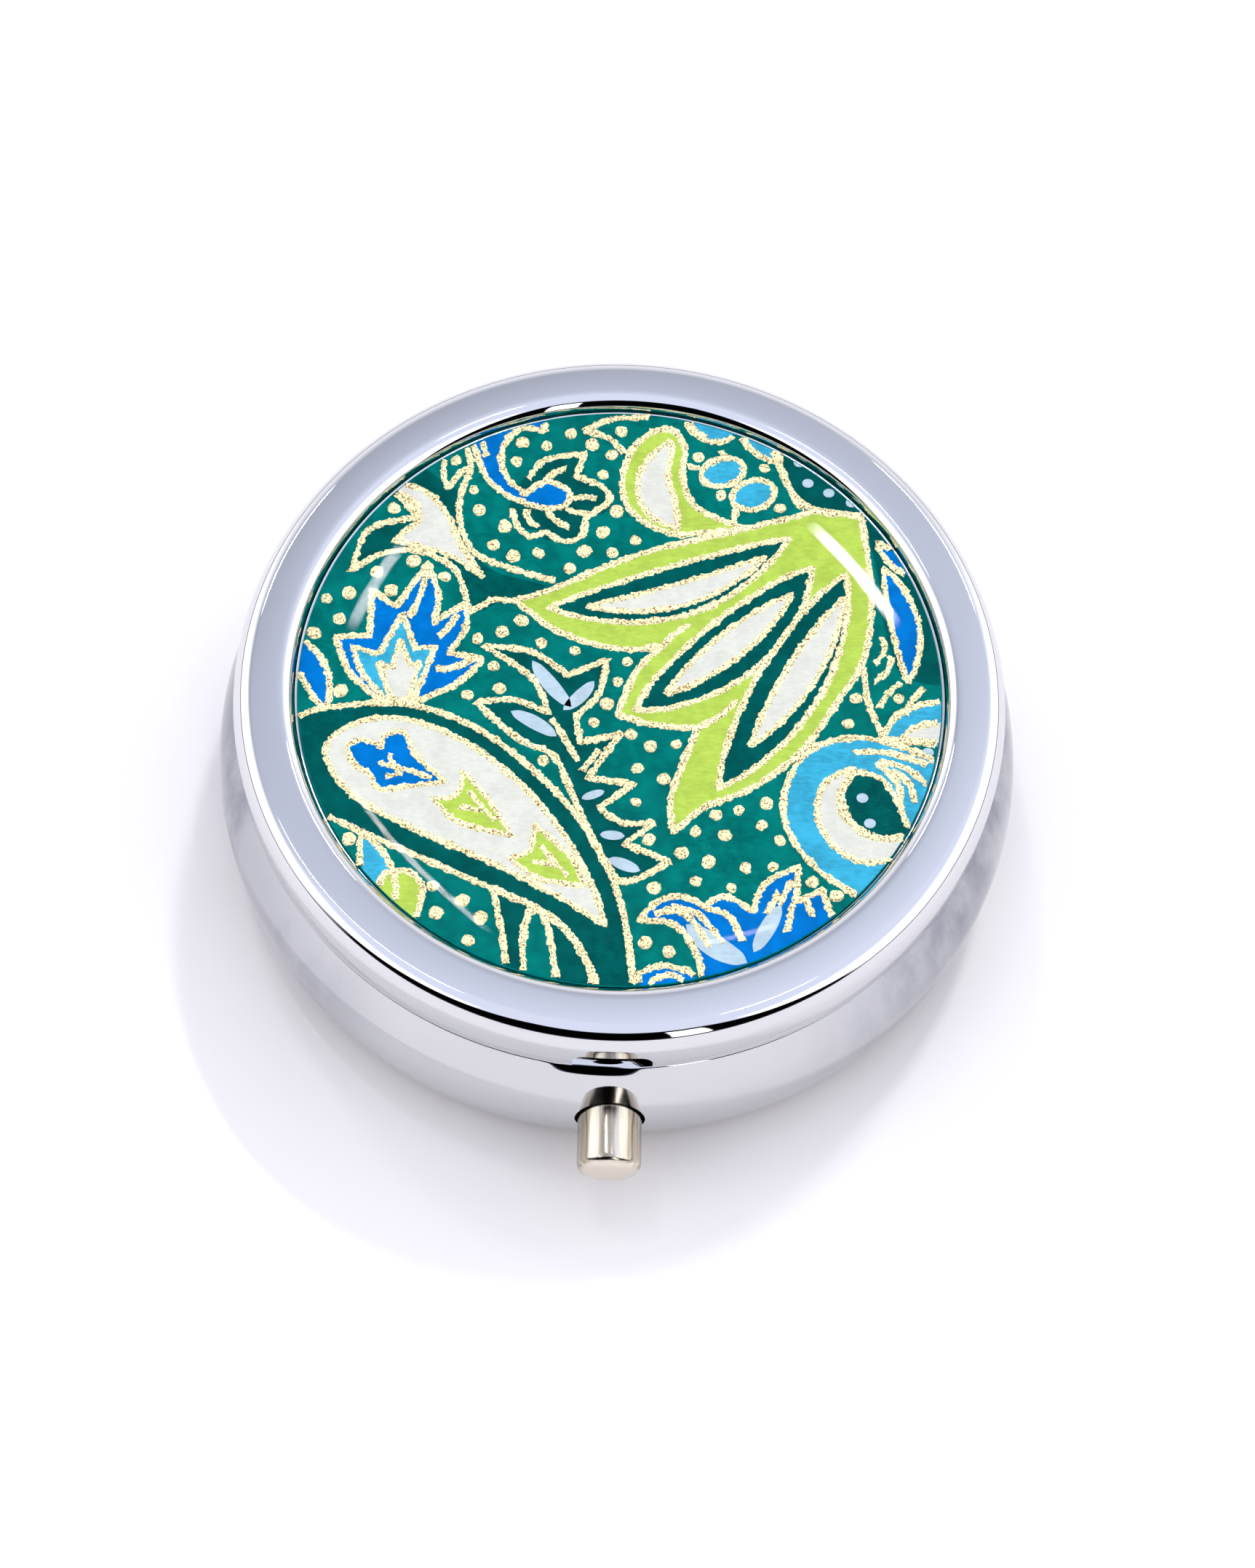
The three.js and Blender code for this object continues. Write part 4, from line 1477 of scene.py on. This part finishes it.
    @staticmethod
    def strokes() -> list[list[Point]]:
        """Returns:
            The gold lines that outline nothing.
        """
        return [
            [(-5.9, -16.8), (-5.6, -15.2), (-5.0, -14.8)],
            [(-13.2, -5.9), (-13.9, -5.0), (-14.0, -4.4)], [(-11.4, -6.1), (-13.0, -5.5), (-14.7, -5.1)],
            [(-13.4, -5.8), (-14.3, -6.0)],
            [(-7.6, -8.9), (-8.7, -7.6), (-9.2, -6.9)], [(-8.4, -8.2), (-9.8, -8.0)],
            [(-3.2, -12.6), (-4.3, -11.3), (-4.8, -10.6)], [(-4.0, -11.8), (-5.4, -11.6)],
            [(-11.9, 8.4), (-12.3, 6.6), (-13.0, 5.0)], [(-10.0, 5.2), (-10.6, 4.2), (-11.2, 3.6)],
            [(-8.9, 2.1), (-10.3, 1.5), (-11.3, 1.4)],
            [(-3.2, 13.4), (-2.3, 13.6), (-1.4, 13.5)], [(-3.3, 12.8), (-2.6, 12.5), (-1.9, 12.4)],
            [(-4.4, 12.6), (-4.0, 11.9), (-3.1, 11.4)], [(-5.8, 12.7), (-5.6, 11.9), (-5.0, 11.4)],
            [(-4.6, 14.8), (-4.0, 15.4), (-3.3, 15.7)],
            [(-8.9, 18.4), (-8.6, 17.6), (-8.3, 16.5)],
            [(-10.9, 16.6), (-11.0, 15.2), (-10.7, 14.2, 1), (-9.9, 15.4), (-9.2, 15.6)],
            [(-9.6, 17.4), (-9.3, 15.6), (-9.9, 13.8), (-9.9, 11.6), (-9.0, 9.6), (-6.8, 8.5), (-4.0, 7.6)],
            [(-14.6, 14.2), (-13.4, 13.2), (-12.6, 12.1, 1), (-15.6, 11.2), (-16.6, 8.3, 1), (-14.6, 9.5),
             (-12.2, 9.6), (-10.1, 8.2), (-9.3, 5.4, 1), (-7.8, 6.2), (-6.5, 6.2)],
            [(-5.7, 14.9), (-4.6, 16.3), (-2.1, 16.8, 1), (-2.7, 15.1, 1), (-1.2, 14.5), (-0.6, 13.4),
             (-2.1, 12.1, 1), (-2.3, 10.9), (-3.4, 10.4), (-4.6, 11.1, 1), (-5.6, 10.8), (-6.4, 11.6),
             (-6.7, 12.8)],
            [(2.6, 3.1), (3.5, 4.0), (4.3, 4.6)], [(4.7, -2.6), (6.0, -1.8), (7.2, -0.7)],
            [(6.5, 17.0), (6.8, 16.5)], [(7.3, 12.8), (7.2, 11.7)], [(4.3, 15.9), (5.1, 15.8)],
            [(-2.2, 18.5, 1), (-0.4, 19.3), (2.0, 19.5)], [(-2.2, 18.5, 1), (-0.6, 17.9), (0.4, 16.8)],
            [(10.1, 18.0), (9.9, 17.0), (11.0, 13.7), (11.6, 12.9)], [(4.2, 19.8), (4.6, 18.6), (5.6, 18.0)],
            [(16.2, 3.8), (16.3, 2.8), (15.7, 1.9)], [(16.7, 2.4), (16.4, 1.4), (15.6, 0.6)],
            [(17.2, 0.6), (16.4, -0.2), (15.8, -1.2)], [(18.6, 0.2), (17.8, -0.8), (17.4, -1.6)],
            [(15.0, 1.6), (15.1, -0.4), (15.5, -1.8), (16.0, -3.2)],
            [(14.2, -4.2), (16.2, -4.2), (18.6, -5.0)], [(15.6, -4.8), (17.2, -5.2), (18.6, -6.4)],
            [(16.4, -5.4), (17.4, -6.2), (17.8, -7.6)], [(15.6, -4.9), (16.8, -6.4), (16.9, -8.4)],
            [(2.0, -15.0), (3.2, -14.8), (4.3, -15.6), (5.2, -17.2)],
            [(3.0, -14.5), (4.6, -15.1), (6.0, -16.9)], [(5.0, -14.6), (6.4, -15.2), (7.2, -16.8)],
            [(8.6, -15.0), (9.4, -13.6)], [(9.4, -14.4), (10.2, -12.8)],
            [(10.2, -14.3), (9.8, -16.2)], [(11.0, -14.0), (11.4, -15.2)],
            [(1.6, -19.4), (2.8, -19.0), (3.6, -19.3)],
            [(-2.6, -4.9), (-3.6, -3.0), (-4.2, -2.0)], [(-1.3, -4.1), (-2.4, -5.6)],
        ]

    def _turned(self, line: list[Vector]) -> list[Vector]:
        """A line as it lies once the paper is stuck in, a little turned."""
        turn = Matrix.Rotation(math.radians(self.turn_deg), 2)
        return [turn @ spot for spot in line]

    def _clamped(self, spot: Vector) -> Vector:
        """A spot brought back inside the paper's edge."""
        limit = self.radius - 0.06
        return spot if spot.length <= limit else spot * (limit / spot.length)

    def _inside_runs(self, line: list[Vector], closed: bool) -> list[tuple[list[Vector], bool]]:
        """Splits a line into the stretches that lie on the paper.

        Args:
            line: the line.
            closed: whether it is a loop.

        Returns:
            The stretches, each with whether it is a loop.
        """
        limit = self.radius - 0.1
        inside = [spot.length <= limit for spot in line]
        if all(inside):
            return [(line, closed)]
        if closed:
            start = inside.index(False)
            line, inside = line[start:] + line[:start], inside[start:] + inside[:start]
        runs: list[tuple[list[Vector], bool]] = []
        run: list[Vector] = []
        for spot, kept in zip(line + [Vector((99, 99))], inside + [False]):
            if kept:
                run.append(spot)
            elif run:
                if len(run) > 3:
                    runs.append((run, False))
                run = []
        return runs

    def _fill(self, made: bmesh.types.BMesh, line: list[Vector], level: int) -> None:
        """Adds one flat patch of ink.

        Args:
            made: the ink's mesh.
            line: its outline.
            level: how many films lie under it.
        """
        height = self.low + self.paper + self.film * (level + self.film_share)
        ring: list[Vector] = []
        for spot in map(self._clamped, line):
            if not ring or (spot - ring[-1]).length > self.least_step:
                ring.append(spot)
        verts = [made.verts.new((*spot, height)) for spot in ring]
        edges = [made.edges.new(pair) for pair in zip(verts, verts[1:] + verts[:1])]
        bmesh.ops.triangle_fill(made, edges=edges, use_beauty=True, use_dissolve=False, normal=(0, 0, 1))

    def _fills(self, inks: dict[Tone, bpy.types.Material]) -> None:
        """Makes one piece for each coloured ink.

        Args:
            inks: the materials.
        """
        meshes: dict[Tone, bmesh.types.BMesh] = {}
        for motif in self.motifs():
            line = self._turned(flowing(motif.outline, True))
            self._fill(meshes.setdefault(motif.tone, bmesh.new()), line, motif.level)
            if motif.trimmed:
                self.lines.extend(self._inside_runs(line, True))
        for tone, made in meshes.items():
            thickened(made, (0, 0, -self.film * self.film_share))
            Piece(f"ink_{tone.value}", Body.LID, Slot.PAPER).place(made, inks[tone])

    def _gold(self, gold: bpy.types.Material) -> None:
        """Makes the raised gold lines, with uneven edges as a stencilled ink has.

        Args:
            gold: their material.
        """
        draw = random.Random(self.seed)
        drawn: list[tuple[list[Point], bool]] = []
        for line, closed in self.lines:
            swell, points = 1.0, []
            for spot in line:
                swell = self.line_memory * swell + (1.0 - self.line_memory) * draw.uniform(*self.line_swell)
                drift = Vector((draw.gauss(0, self.line_wander), draw.gauss(0, self.line_wander)))
                points.append((*(spot + drift), 0.0, swell * draw.uniform(*self.line_grain)))
            drawn.append((points, closed))
        made = rods(drawn, self.line_width / 2, 1)
        bmesh.ops.scale(made, verts=made.verts, vec=(1, 1, 2 * self.gold_height / self.line_width))
        bmesh.ops.translate(made, verts=made.verts, vec=(0, 0, self.low + self.paper + self.film * 1.5))
        Piece("gold_lines", Body.LID, Slot.PAPER, (), 70.0).place(made, gold)

    def _dots(self, gold: bpy.types.Material) -> None:
        """Scatters gold dots over the open ground.

        Args:
            gold: their material.
        """
        draw = random.Random(self.seed + 1)
        spots = [spot for line, _ in self.lines for spot in line[::2]]
        taken = KDTree(len(spots))
        for i, spot in enumerate(spots):
            taken.insert((*spot, 0.0), i)
        taken.balance()
        solid = [self._turned(flowing(motif.outline, True, self.dot_step)) for motif in self.motifs()]
        made, dots = bmesh.new(), []
        for _ in range(self.dot_tries):
            spot = Vector((draw.uniform(-20, 20), draw.uniform(-20, 20)))
            size = self.dot_radius * draw.uniform(*self.dot_sizes)
            if spot.length > self.radius - 0.5 or taken.find((*spot, 0.0))[2] < self.dot_margin:
                continue
            if any((spot - other).length < self.dot_pitch for other in dots):
                continue
            if any(surrounds(outline, spot) for outline in solid):
                continue
            dots.append(spot)
            place = Matrix.Translation((*spot, self.low + self.paper + self.film))
            shape = Matrix.Diagonal((size, size * draw.uniform(*self.dot_lengths), self.gold_height, 1.0))
            turn = Matrix.Rotation(draw.uniform(0, math.pi), 4, "Z")
            new = bmesh.ops.create_icosphere(made, subdivisions=2, radius=1.0, matrix=place @ turn @ shape)
            for vert in new["verts"]:
                shift = (draw.gauss(0, self.dot_roughness), draw.gauss(0, self.dot_roughness), 0.0)
                vert.co += Vector(shift)
        Piece("gold_dots", Body.LID, Slot.PAPER, (), 80.0).place(made, gold)

    def build(self, inks: dict[Tone, bpy.types.Material]) -> None:
        """Makes the paper and everything printed on it.

        Args:
            inks: the material of each ink.
        """
        disc = Profile().to((0, self.low), (self.radius, self.low), (self.radius, self.low + self.paper),
                            (0, self.low + self.paper)).turned(self.sides, closed=False)
        Piece("paper", Body.LID, Slot.PAPER, ("picture_disc",)).place(disc, inks[Tone.GROUND])
        self._fills(inks)
        for stroke in self.strokes():
            self.lines.extend(self._inside_runs(self._turned(flowing(stroke, False)), False))
        self._gold(inks[Tone.GOLD])
        self._dots(inks[Tone.GOLD])


def surrounds(outline: Sequence[Vector], spot: Vector) -> bool:
    """Whether a closed outline goes round a spot.

    Args:
        outline: its points.
        spot: the spot.

    Returns:
        True inside.
    """
    found = False
    for a, b in zip(outline, list(outline[1:]) + [outline[0]]):
        if (a.y > spot.y) != (b.y > spot.y) and spot.x < (b.x - a.x) * (spot.y - a.y) / (b.y - a.y) + a.x:
            found = not found
    return found


# ---------------------------------------------------------------- button, hinge and tray


@dataclass
class Button:
    """The turned push button with its stop flange and stem."""

    height: float = 5.8
    end: float = -28.4
    radius: float = 1.94
    flange_front: float = -23.9
    flange: float = 0.5
    flange_radius: float = 2.9
    stem_radius: float = 1.1
    stem_end: float = -19.2
    end_bevel: float = 0.5
    stem_bevel: float = 0.1

    def build(self, nickel: bpy.types.Material) -> None:
        """Makes the button.

        Args:
            nickel: its finish.
        """
        back = self.flange_front + self.flange
        bevel, tip = self.end_bevel, self.stem_bevel
        p = Profile().to((0.0, self.end), (0.7, self.end + 0.02), (1.2, self.end + 0.06))
        p.arc((self.radius - bevel, self.end + 0.12 + bevel), bevel, -80, 0, 6)
        p.to((self.radius, self.flange_front), (self.flange_radius, self.flange_front),
             (self.flange_radius, back), (self.stem_radius, back), (self.stem_radius, self.stem_end - tip),
             (self.stem_radius - tip, self.stem_end), (0.0, self.stem_end))
        made = facing_front(p.turned(64, closed=False), self.height)
        Piece("button_cap", Body.BUTTON, Slot.NICKEL, ("push_button",)).place(made, nickel)


@dataclass
class ReturnSpring:
    """The coil spring that pushes the button out, its end turns closed."""

    radius: float = 1.7
    wire: float = 0.14
    front: float = -23.4
    back: float = -21.15
    height: float = 5.8
    open_turns: float = 3.0
    closed_turns: float = 0.8
    steps_per_turn: int = 36
    travel: float = 1.0

    def build(self, steel: bpy.types.Material) -> None:
        """Makes the spring.

        Args:
            steel: its finish.
        """
        turns = self.open_turns + 2 * self.closed_turns
        count = round(turns * self.steps_per_turn)
        low, high = self.front + self.wire, self.back - self.wire
        points = []
        for i in range(count + 1):
            turn = turns * i / count
            share = min(1.0, max(0.0, (turn - self.closed_turns) / self.open_turns))
            angle = math.tau * turn
            points.append((self.radius * math.cos(angle), low + (high - low) * share,
                           self.height + self.radius * math.sin(angle), 1.0))
        made = rods([(points, False)], self.wire, 2, capped=True)
        piece = Piece("return_spring", Body.BASE, Slot.STEEL, ("latch_spring",), 60.0).place(made, steel)
        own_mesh(piece)


@dataclass
class Tray:
    """The moulded insert with three rounded compartments."""

    radius: float = 21.3
    flat: float = -17.8
    low: float = 0.55
    top: float = 10.0
    wall: float = 0.9
    corner: float = 2.2
    fillet: float = 1.1
    foot: float = 0.8
    edge: float = 0.3
    mouth_edge: float = 0.22
    arc_steps: int = 28
    sides: int = 192

    def _pocket(self, middle: float, front: float) -> bmesh.types.BMesh:
        """The inside of one compartment, with rounded corners and a rounded floor edge.

        Args:
            middle: direction of its middle, in radians.
            front: nothing of it lies further forward than this.

        Returns:
            The closed shape.
        """
        half, radius = math.pi / 3, self.radius - self.wall
        apex = self.wall / 2 / math.sin(half)
        skew = math.asin(self.wall / 2 / radius)
        outline = [(apex * math.cos(middle), apex * math.sin(middle))]
        for i in range(self.arc_steps + 1):
            angle = middle + (half - skew) * (2 * i / self.arc_steps - 1)
            outline.append((radius * math.cos(angle), radius * math.sin(angle)))
        floor = self.low + self.wall
        made = prism([(x, max(y, front), floor) for x, y in outline], (0, 0, self.top - floor + 1.0))
        bmesh.ops.dissolve_limit(made, angle_limit=math.radians(1.0), verts=made.verts, edges=made.edges)
        upright = [e for e in made.edges if abs(e.verts[0].co.z - e.verts[1].co.z) > 1.0
                   and e.calc_face_angle(0.0) > math.radians(25)]
        rounded(made, upright, self.corner, 7)
        rim = [e for e in made.edges if all(v.co.z < floor + 0.01 for v in e.verts)]
        rounded(made, rim, self.fillet, 5)
        return made

    def build(self, plastic: bpy.types.Material) -> None:
        """Makes the tray.

        Args:
            plastic: its finish.
        """
        foot, edge = self.foot, self.edge
        p = Profile().to((0.0, self.low))
        p.arc((self.radius - foot - 0.1, self.low + foot), foot, -90, 0, 6)
        p.arc((self.radius - edge, self.top - edge), edge, 0, 90, 5).to((0.0, self.top))
        front = self.flat + self.wall
        tools = [cuboid((-20, -25, 0), (20, self.flat, 12))]
        for number in range(3):
            middle = math.radians(120 * number - 90)
            tools.append(self._pocket(middle, front if number == 0 else -self.radius))
        made = carved(p.turned(self.sides, closed=False), tools)
        bmesh.ops.remove_doubles(made, verts=made.verts, dist=1e-3)
        mouth = [e for e in made.edges if all(v.co.z > self.top - 1e-3 for v in e.verts)
                 and e.calc_face_angle(0.0) > math.radians(60)]
        rounded(made, mouth, self.mouth_edge, 3, clamp=True)
        Piece("moulded_tray", Body.BASE, Slot.TRAY, ("compartment_tray",)).place(made, plastic)


@dataclass(frozen=True)
class Fitting:
    """A small pressed or turned part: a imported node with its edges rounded."""

    node: str
    name: str
    body: Body
    slot: Slot
    edge: float = 0.07
    segments: int = 2
    weld: float = 2e-3
    flat_deg: float = 2.0
    rounded_deg: float = 40.0

    def build(self, metal: bpy.types.Material) -> None:
        """Makes the part from a merged copy of the node.

        Args:
            metal: its finish.
        """
        made = bmesh.new()
        made.from_mesh(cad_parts[self.node].data)
        bmesh.ops.scale(made, verts=made.verts, vec=(1 / MM,) * 3)
        bmesh.ops.remove_doubles(made, verts=made.verts, dist=self.weld)
        flat, turned = math.radians(self.flat_deg), math.radians(self.rounded_deg)
        bmesh.ops.dissolve_limit(made, angle_limit=flat, verts=made.verts, edges=made.edges)
        sharp = [e for e in made.edges if e.is_manifold and e.calc_face_angle(0.0) > turned]
        rounded(made, sharp, self.edge, self.segments, clamp=True)
        Piece(self.name, self.body, self.slot, (self.node,), 40.0).place(made, metal)


def fittings() -> list[Fitting]:
    """Returns:
        The hinge, the latch and the rivets.
    """
    base, lid, button, steel = Body.BASE, Body.LID, Body.BUTTON, Slot.STEEL
    made = [
        Fitting("base_hinge_leaf", "hinge_leaf_lower", base, Slot.PLATED),
        Fitting("lid_hinge_leaf", "hinge_leaf_upper", lid, Slot.PLATED),
        Fitting("hinge_pin", "hinge_wire", base, steel, 0.05),
        Fitting("latch_bracket", "stem_guide", base, steel),
        Fitting("latch_plate", "catch_plate", button, steel),
        Fitting("stem_clip", "spring_clip", button, steel, 0.05),
        Fitting("catch_hook", "lid_hook", lid, steel),
    ]
    for side in ("left", "right"):
        for kind, body in (("base_hinge_rivet", base), ("bracket_rivet", base), ("lid_hinge_rivet", lid),
                           ("catch_hook_rivet", lid)):
            made.append(Fitting(f"{kind}_{side}", f"{kind}_head_{side}", body, steel, 0.16, 3))
    return made


# ---------------------------------------------------------------- studio


@dataclass(frozen=True)
class Strip:
    """A narrow soft strip lamp far away: angles are half sizes in radians."""

    direction: Point
    along: Point
    length: float
    width: float
    strength: float


@dataclass
class Studio:
    """Floor, surroundings and camera."""

    page: Colour = (0.98, 0.975, 0.985)
    haze: Colour = (1.12, 1.12, 1.2)
    haze_top: Span = (20.0, 60.0)
    ceiling: Colour = (1.0, 1.06, 1.28)
    fade: Point = (0.67, -1.45, 1.401)
    fade_limits: Span = (0.5, 1.05)
    panel: Colour = (1.75, 1.75, 1.785)
    panel_sides: tuple[Span, Span] = ((31.0, 36.0), (125.0, 150.0))
    panel_rise: tuple[Span, Span] = ((5.0, 9.0), (44.0, 58.0))
    gap: Colour = (0.001, 0.001, 0.0012)
    gap_left: Span = (-80.0, -60.0)
    gap_right: Span = (52.0, 60.0)
    gap_top: Span = (48.0, 53.0)
    gap_slopes: tuple[Span, Span] = ((-0.75, -15.0), (1.2, -28.0))
    window: Colour = (3.0, 3.0, 3.0)
    window_sides: tuple[Span, Span] = ((13.0, 14.0), (21.5, 22.5))
    window_rise: tuple[Span, Span] = ((6.0, 9.0), (40.0, 43.0))
    horizon: Colour = (0.10, 0.10, 0.13)
    horizon_rise: tuple[Span, Span] = ((-1.0, 0.5), (3.0, 5.0))
    strips: tuple[Strip, ...] = (
        Strip((0.232, 0.576, 0.783), (0.093, -0.085, 0.035), 0.074, 0.014, 350.0),
        Strip((-0.218, 0.554, 0.803), (-0.050, -0.080, 0.041), 0.062, 0.013, 120.0),
        Strip((-0.190, 0.260, 0.947), (0.130, -0.154, 0.069), 0.120, 0.006, 120.0),
        Strip((0.147, 0.183, 0.972), (0.075, 0.018, -0.015), 0.050, 0.006, 60.0),
    )
    lens: float = 91.7
    azimuth_deg: float = -1.6
    elevation_deg: float = 63.15
    roll_deg: float = 3.3
    distance: float = 250.0
    target: Point = (0.0, 0.0, 8.0)
    aim: Point = (0.65, -3.45, 8.0)
    clip: Span = (0.01, 10.0)
    floor_half: float = 1.5
    floor_drop: float = 0.00002

    def _overhead(self, s: Sheet, x: object, y: object) -> bpy.types.NodeSocket:
        """The ceiling, brighter towards the front.

        Args:
            s: the world's sheet.
            x: sideways part of the direction looked in.
            y: its forward part.

        Returns:
            The ceiling's colour.
        """
        across, along, level = self.fade
        darkest, brightest = self.fade_limits
        bright = s.math("ADD", s.math("MULTIPLY_ADD", x, across, level), s.math("MULTIPLY", y, along))
        bright = s.math("MINIMUM", s.math("MAXIMUM", bright, darkest), brightest)
        return s.mix(bright, (0.0, 0.0, 0.0), self.ceiling)

    def _gap(self, s: Sheet, bearing: object, rise: object) -> bpy.types.NodeSocket:
        """Mask of the dark gap in front, whose top slopes down towards both sides.

        Args:
            s: the world's sheet.
            bearing: degrees to the right of straight ahead.
            rise: degrees above the horizon.

        Returns:
            The mask.
        """
        left, right = (s.math("MAXIMUM", s.math("MULTIPLY_ADD", bearing, *slope), 0.0)
                       for slope in self.gap_slopes)
        lowered = s.math("ADD", rise, s.math("ADD", left, right))
        across = s.band(bearing, self.gap_left, self.gap_right)
        return s.math("MULTIPLY", across, s.step(lowered, *self.gap_top, 1.0, 0.0))

    def _surroundings(self) -> None:
        """Paints what the metal mirrors: a soft ceiling, bright panels at the sides, a dark gap in front."""
        world = bpy.data.worlds.new("studio")
        world.use_nodes = True
        bpy.context.scene.world = world
        s = Sheet(world.node_tree)
        back = next(n for n in s.tree.nodes if n.type == "BACKGROUND")
        x, y, z = s.axes(s.node("ShaderNodeTexCoord").outputs["Generated"])
        bearing = s.math("DEGREES", s.math("ARCTAN2", x, s.math("MULTIPLY", y, -1.0)))
        rise = s.math("DEGREES", s.math("ARCSINE", z))
        turned = s.math("ABSOLUTE", bearing)
        panel = s.math("MULTIPLY", s.band(turned, *self.panel_sides), s.band(rise, *self.panel_rise))
        window = s.math("MULTIPLY", s.band(bearing, *self.window_sides), s.band(rise, *self.window_rise))
        colour = s.mix(s.step(rise, *self.haze_top), self.haze, self._overhead(s, x, y))
        colour = s.mix(panel, colour, self.panel)
        colour = s.mix(self._gap(s, bearing, rise), colour, self.gap)
        colour = s.mix(window, colour, self.window)
        colour = s.mix(s.band(rise, *self.horizon_rise), colour, self.horizon)
        for strip in self.strips:
            colour = s.mix(self._strip(s, (x, y, z), strip), colour, (strip.strength,) * 3)
        seen = s.node("ShaderNodeLightPath").outputs["Is Camera Ray"]
        s.put(back.inputs["Color"], s.mix(seen, colour, self.page))

    @staticmethod
    def _strip(s: Sheet, axes: Sequence[bpy.types.NodeSocket], strip: Strip) -> bpy.types.NodeSocket:
        """Mask of a strip lamp.

        Args:
            s: the world's sheet.
            axes: the three parts of the direction looked in.
            strip: the lamp.

        Returns:
            The mask.
        """
        middle = Vector(strip.direction).normalized()
        across = middle.cross(Vector(strip.along)).normalized()
        run = across.cross(middle)

        def reach(axis: Vector) -> bpy.types.NodeSocket:
            """How far the direction lies along an axis."""
            parts = [s.math("MULTIPLY", part, amount) for part, amount in zip(axes, axis)]
            return s.math("ADD", s.math("ADD", parts[0], parts[1]), parts[2])

        ahead = s.step(reach(middle), 0.8, 0.82)
        mask = s.math("MULTIPLY",
                      s.step(s.math("ABSOLUTE", reach(run)), strip.length * 0.5, strip.length, 1.0, 0.0),
                      s.step(s.math("ABSOLUTE", reach(across)), strip.width * 0.35, strip.width, 1.0, 0.0))
        return s.math("MULTIPLY", mask, ahead)

    def _camera(self) -> None:
        """Sets the camera."""
        a, e = math.radians(self.azimuth_deg), math.radians(self.elevation_deg)
        away = Vector((math.sin(a) * math.cos(e), -math.cos(a) * math.cos(e), math.sin(e)))
        place = (Vector(self.target) + away * self.distance) * MM
        data = bpy.data.cameras.new("camera")
        data.lens = self.lens
        data.clip_start, data.clip_end = self.clip
        camera = bpy.data.objects.new("camera", data)
        camera.location = place
        camera.rotation_mode = "QUATERNION"
        look = (Vector(self.aim) * MM - place).to_track_quat("-Z", "Y")
        camera.rotation_quaternion = look @ Quaternion((0, 0, 1), math.radians(self.roll_deg))
        bpy.context.scene.collection.objects.link(camera)
        bpy.context.scene.camera = camera

    def build(self) -> None:
        """Makes the floor, the surroundings and the camera."""
        made = bmesh.new()
        bmesh.ops.create_grid(made, x_segments=2, y_segments=2, size=self.floor_half)
        bmesh.ops.translate(made, verts=made.verts, vec=(0, 0, -self.floor_drop))
        floor = object_of(made, "floor")
        floor.data.materials.append(Tabletop("tabletop").material())
        self._surroundings()
        self._camera()
        bpy.context.scene.view_settings.view_transform = "Standard"


def inks() -> dict[Tone, bpy.types.Material]:
    """Returns:
        The material of each ink.
    """
    recipes = {
        Tone.GROUND: Ink("paper_ground", linear(0, 107, 102), 0.26),
        Tone.DEEP: Ink("ink_deep_teal", linear(0, 80, 78), 0.24),
        Tone.LIME: Ink("ink_lime_green", linear(176, 198, 81), 0.12),
        Tone.SILVER: Ink("ink_silver_white", linear(217, 212, 202), 0.07, roughness=0.4),
        Tone.COBALT: Ink("ink_cobalt_blue", linear(0, 108, 189), 0.18),
        Tone.TURQUOISE: Ink("ink_turquoise_blue", linear(57, 162, 196), 0.18),
        Tone.PALE: Ink("ink_pale_blue", linear(180, 196, 208), 0.10),
        Tone.GOLD: Ink("ink_gold_relief", linear(252, 232, 184), 0.14, speck_colour=linear(138, 98, 44),
                       speck_scale=8200.0, roughness=0.42, metallic=0.25, relief=0.8),
    }
    return {tone: recipe.material() for tone, recipe in recipes.items()}


def main() -> None:
    """Builds the studio and the box."""
    logging.basicConfig(level=logging.INFO, format="%(message)s")
    Studio().build()
    plating = Plating("chrome_plating").material()
    steel = DrawnMetal("bright_steel_sheet").material()
    nickel = DrawnMetal("button_nickel_plate", light=(0.86, 0.79, 0.68), dark=(0.34, 0.29, 0.22),
                        roughness=0.15, stretch=(1.0, 0.04, 1.0), line_scale=1500.0, relief=0.14,
                        plain_front=-0.0283).material()
    # The base's plating is a darker copy of the same chrome (tint 0.62 against 0.69), painted shade over the
    # whole wall, and carries painted shade towards its two sides (haze).
    base_plating = Plating("chrome_plating_base", tint=(0.62, 0.625, 0.645), smudges=0.06,
                           haze=1.0).material()
    lid_plating = Plating("chrome_plating_lid", roughness=0.02, smudges=0.015, hairlines=0.01).material()
    BaseCup().build(base_plating)
    Collar().build(plating)
    Lid().build(lid_plating)
    Dome().build(ClearResin("clear_resin_dome").material())
    Picture().build(inks())
    Button().build(nickel)
    ReturnSpring().build(steel)
    Tray().build(Moulded("tray_satin_plastic").material())
    for fitting in fittings():
        fitting.build(plating if fitting.slot is Slot.PLATED else steel)


if __name__ == "__main__":
    main()
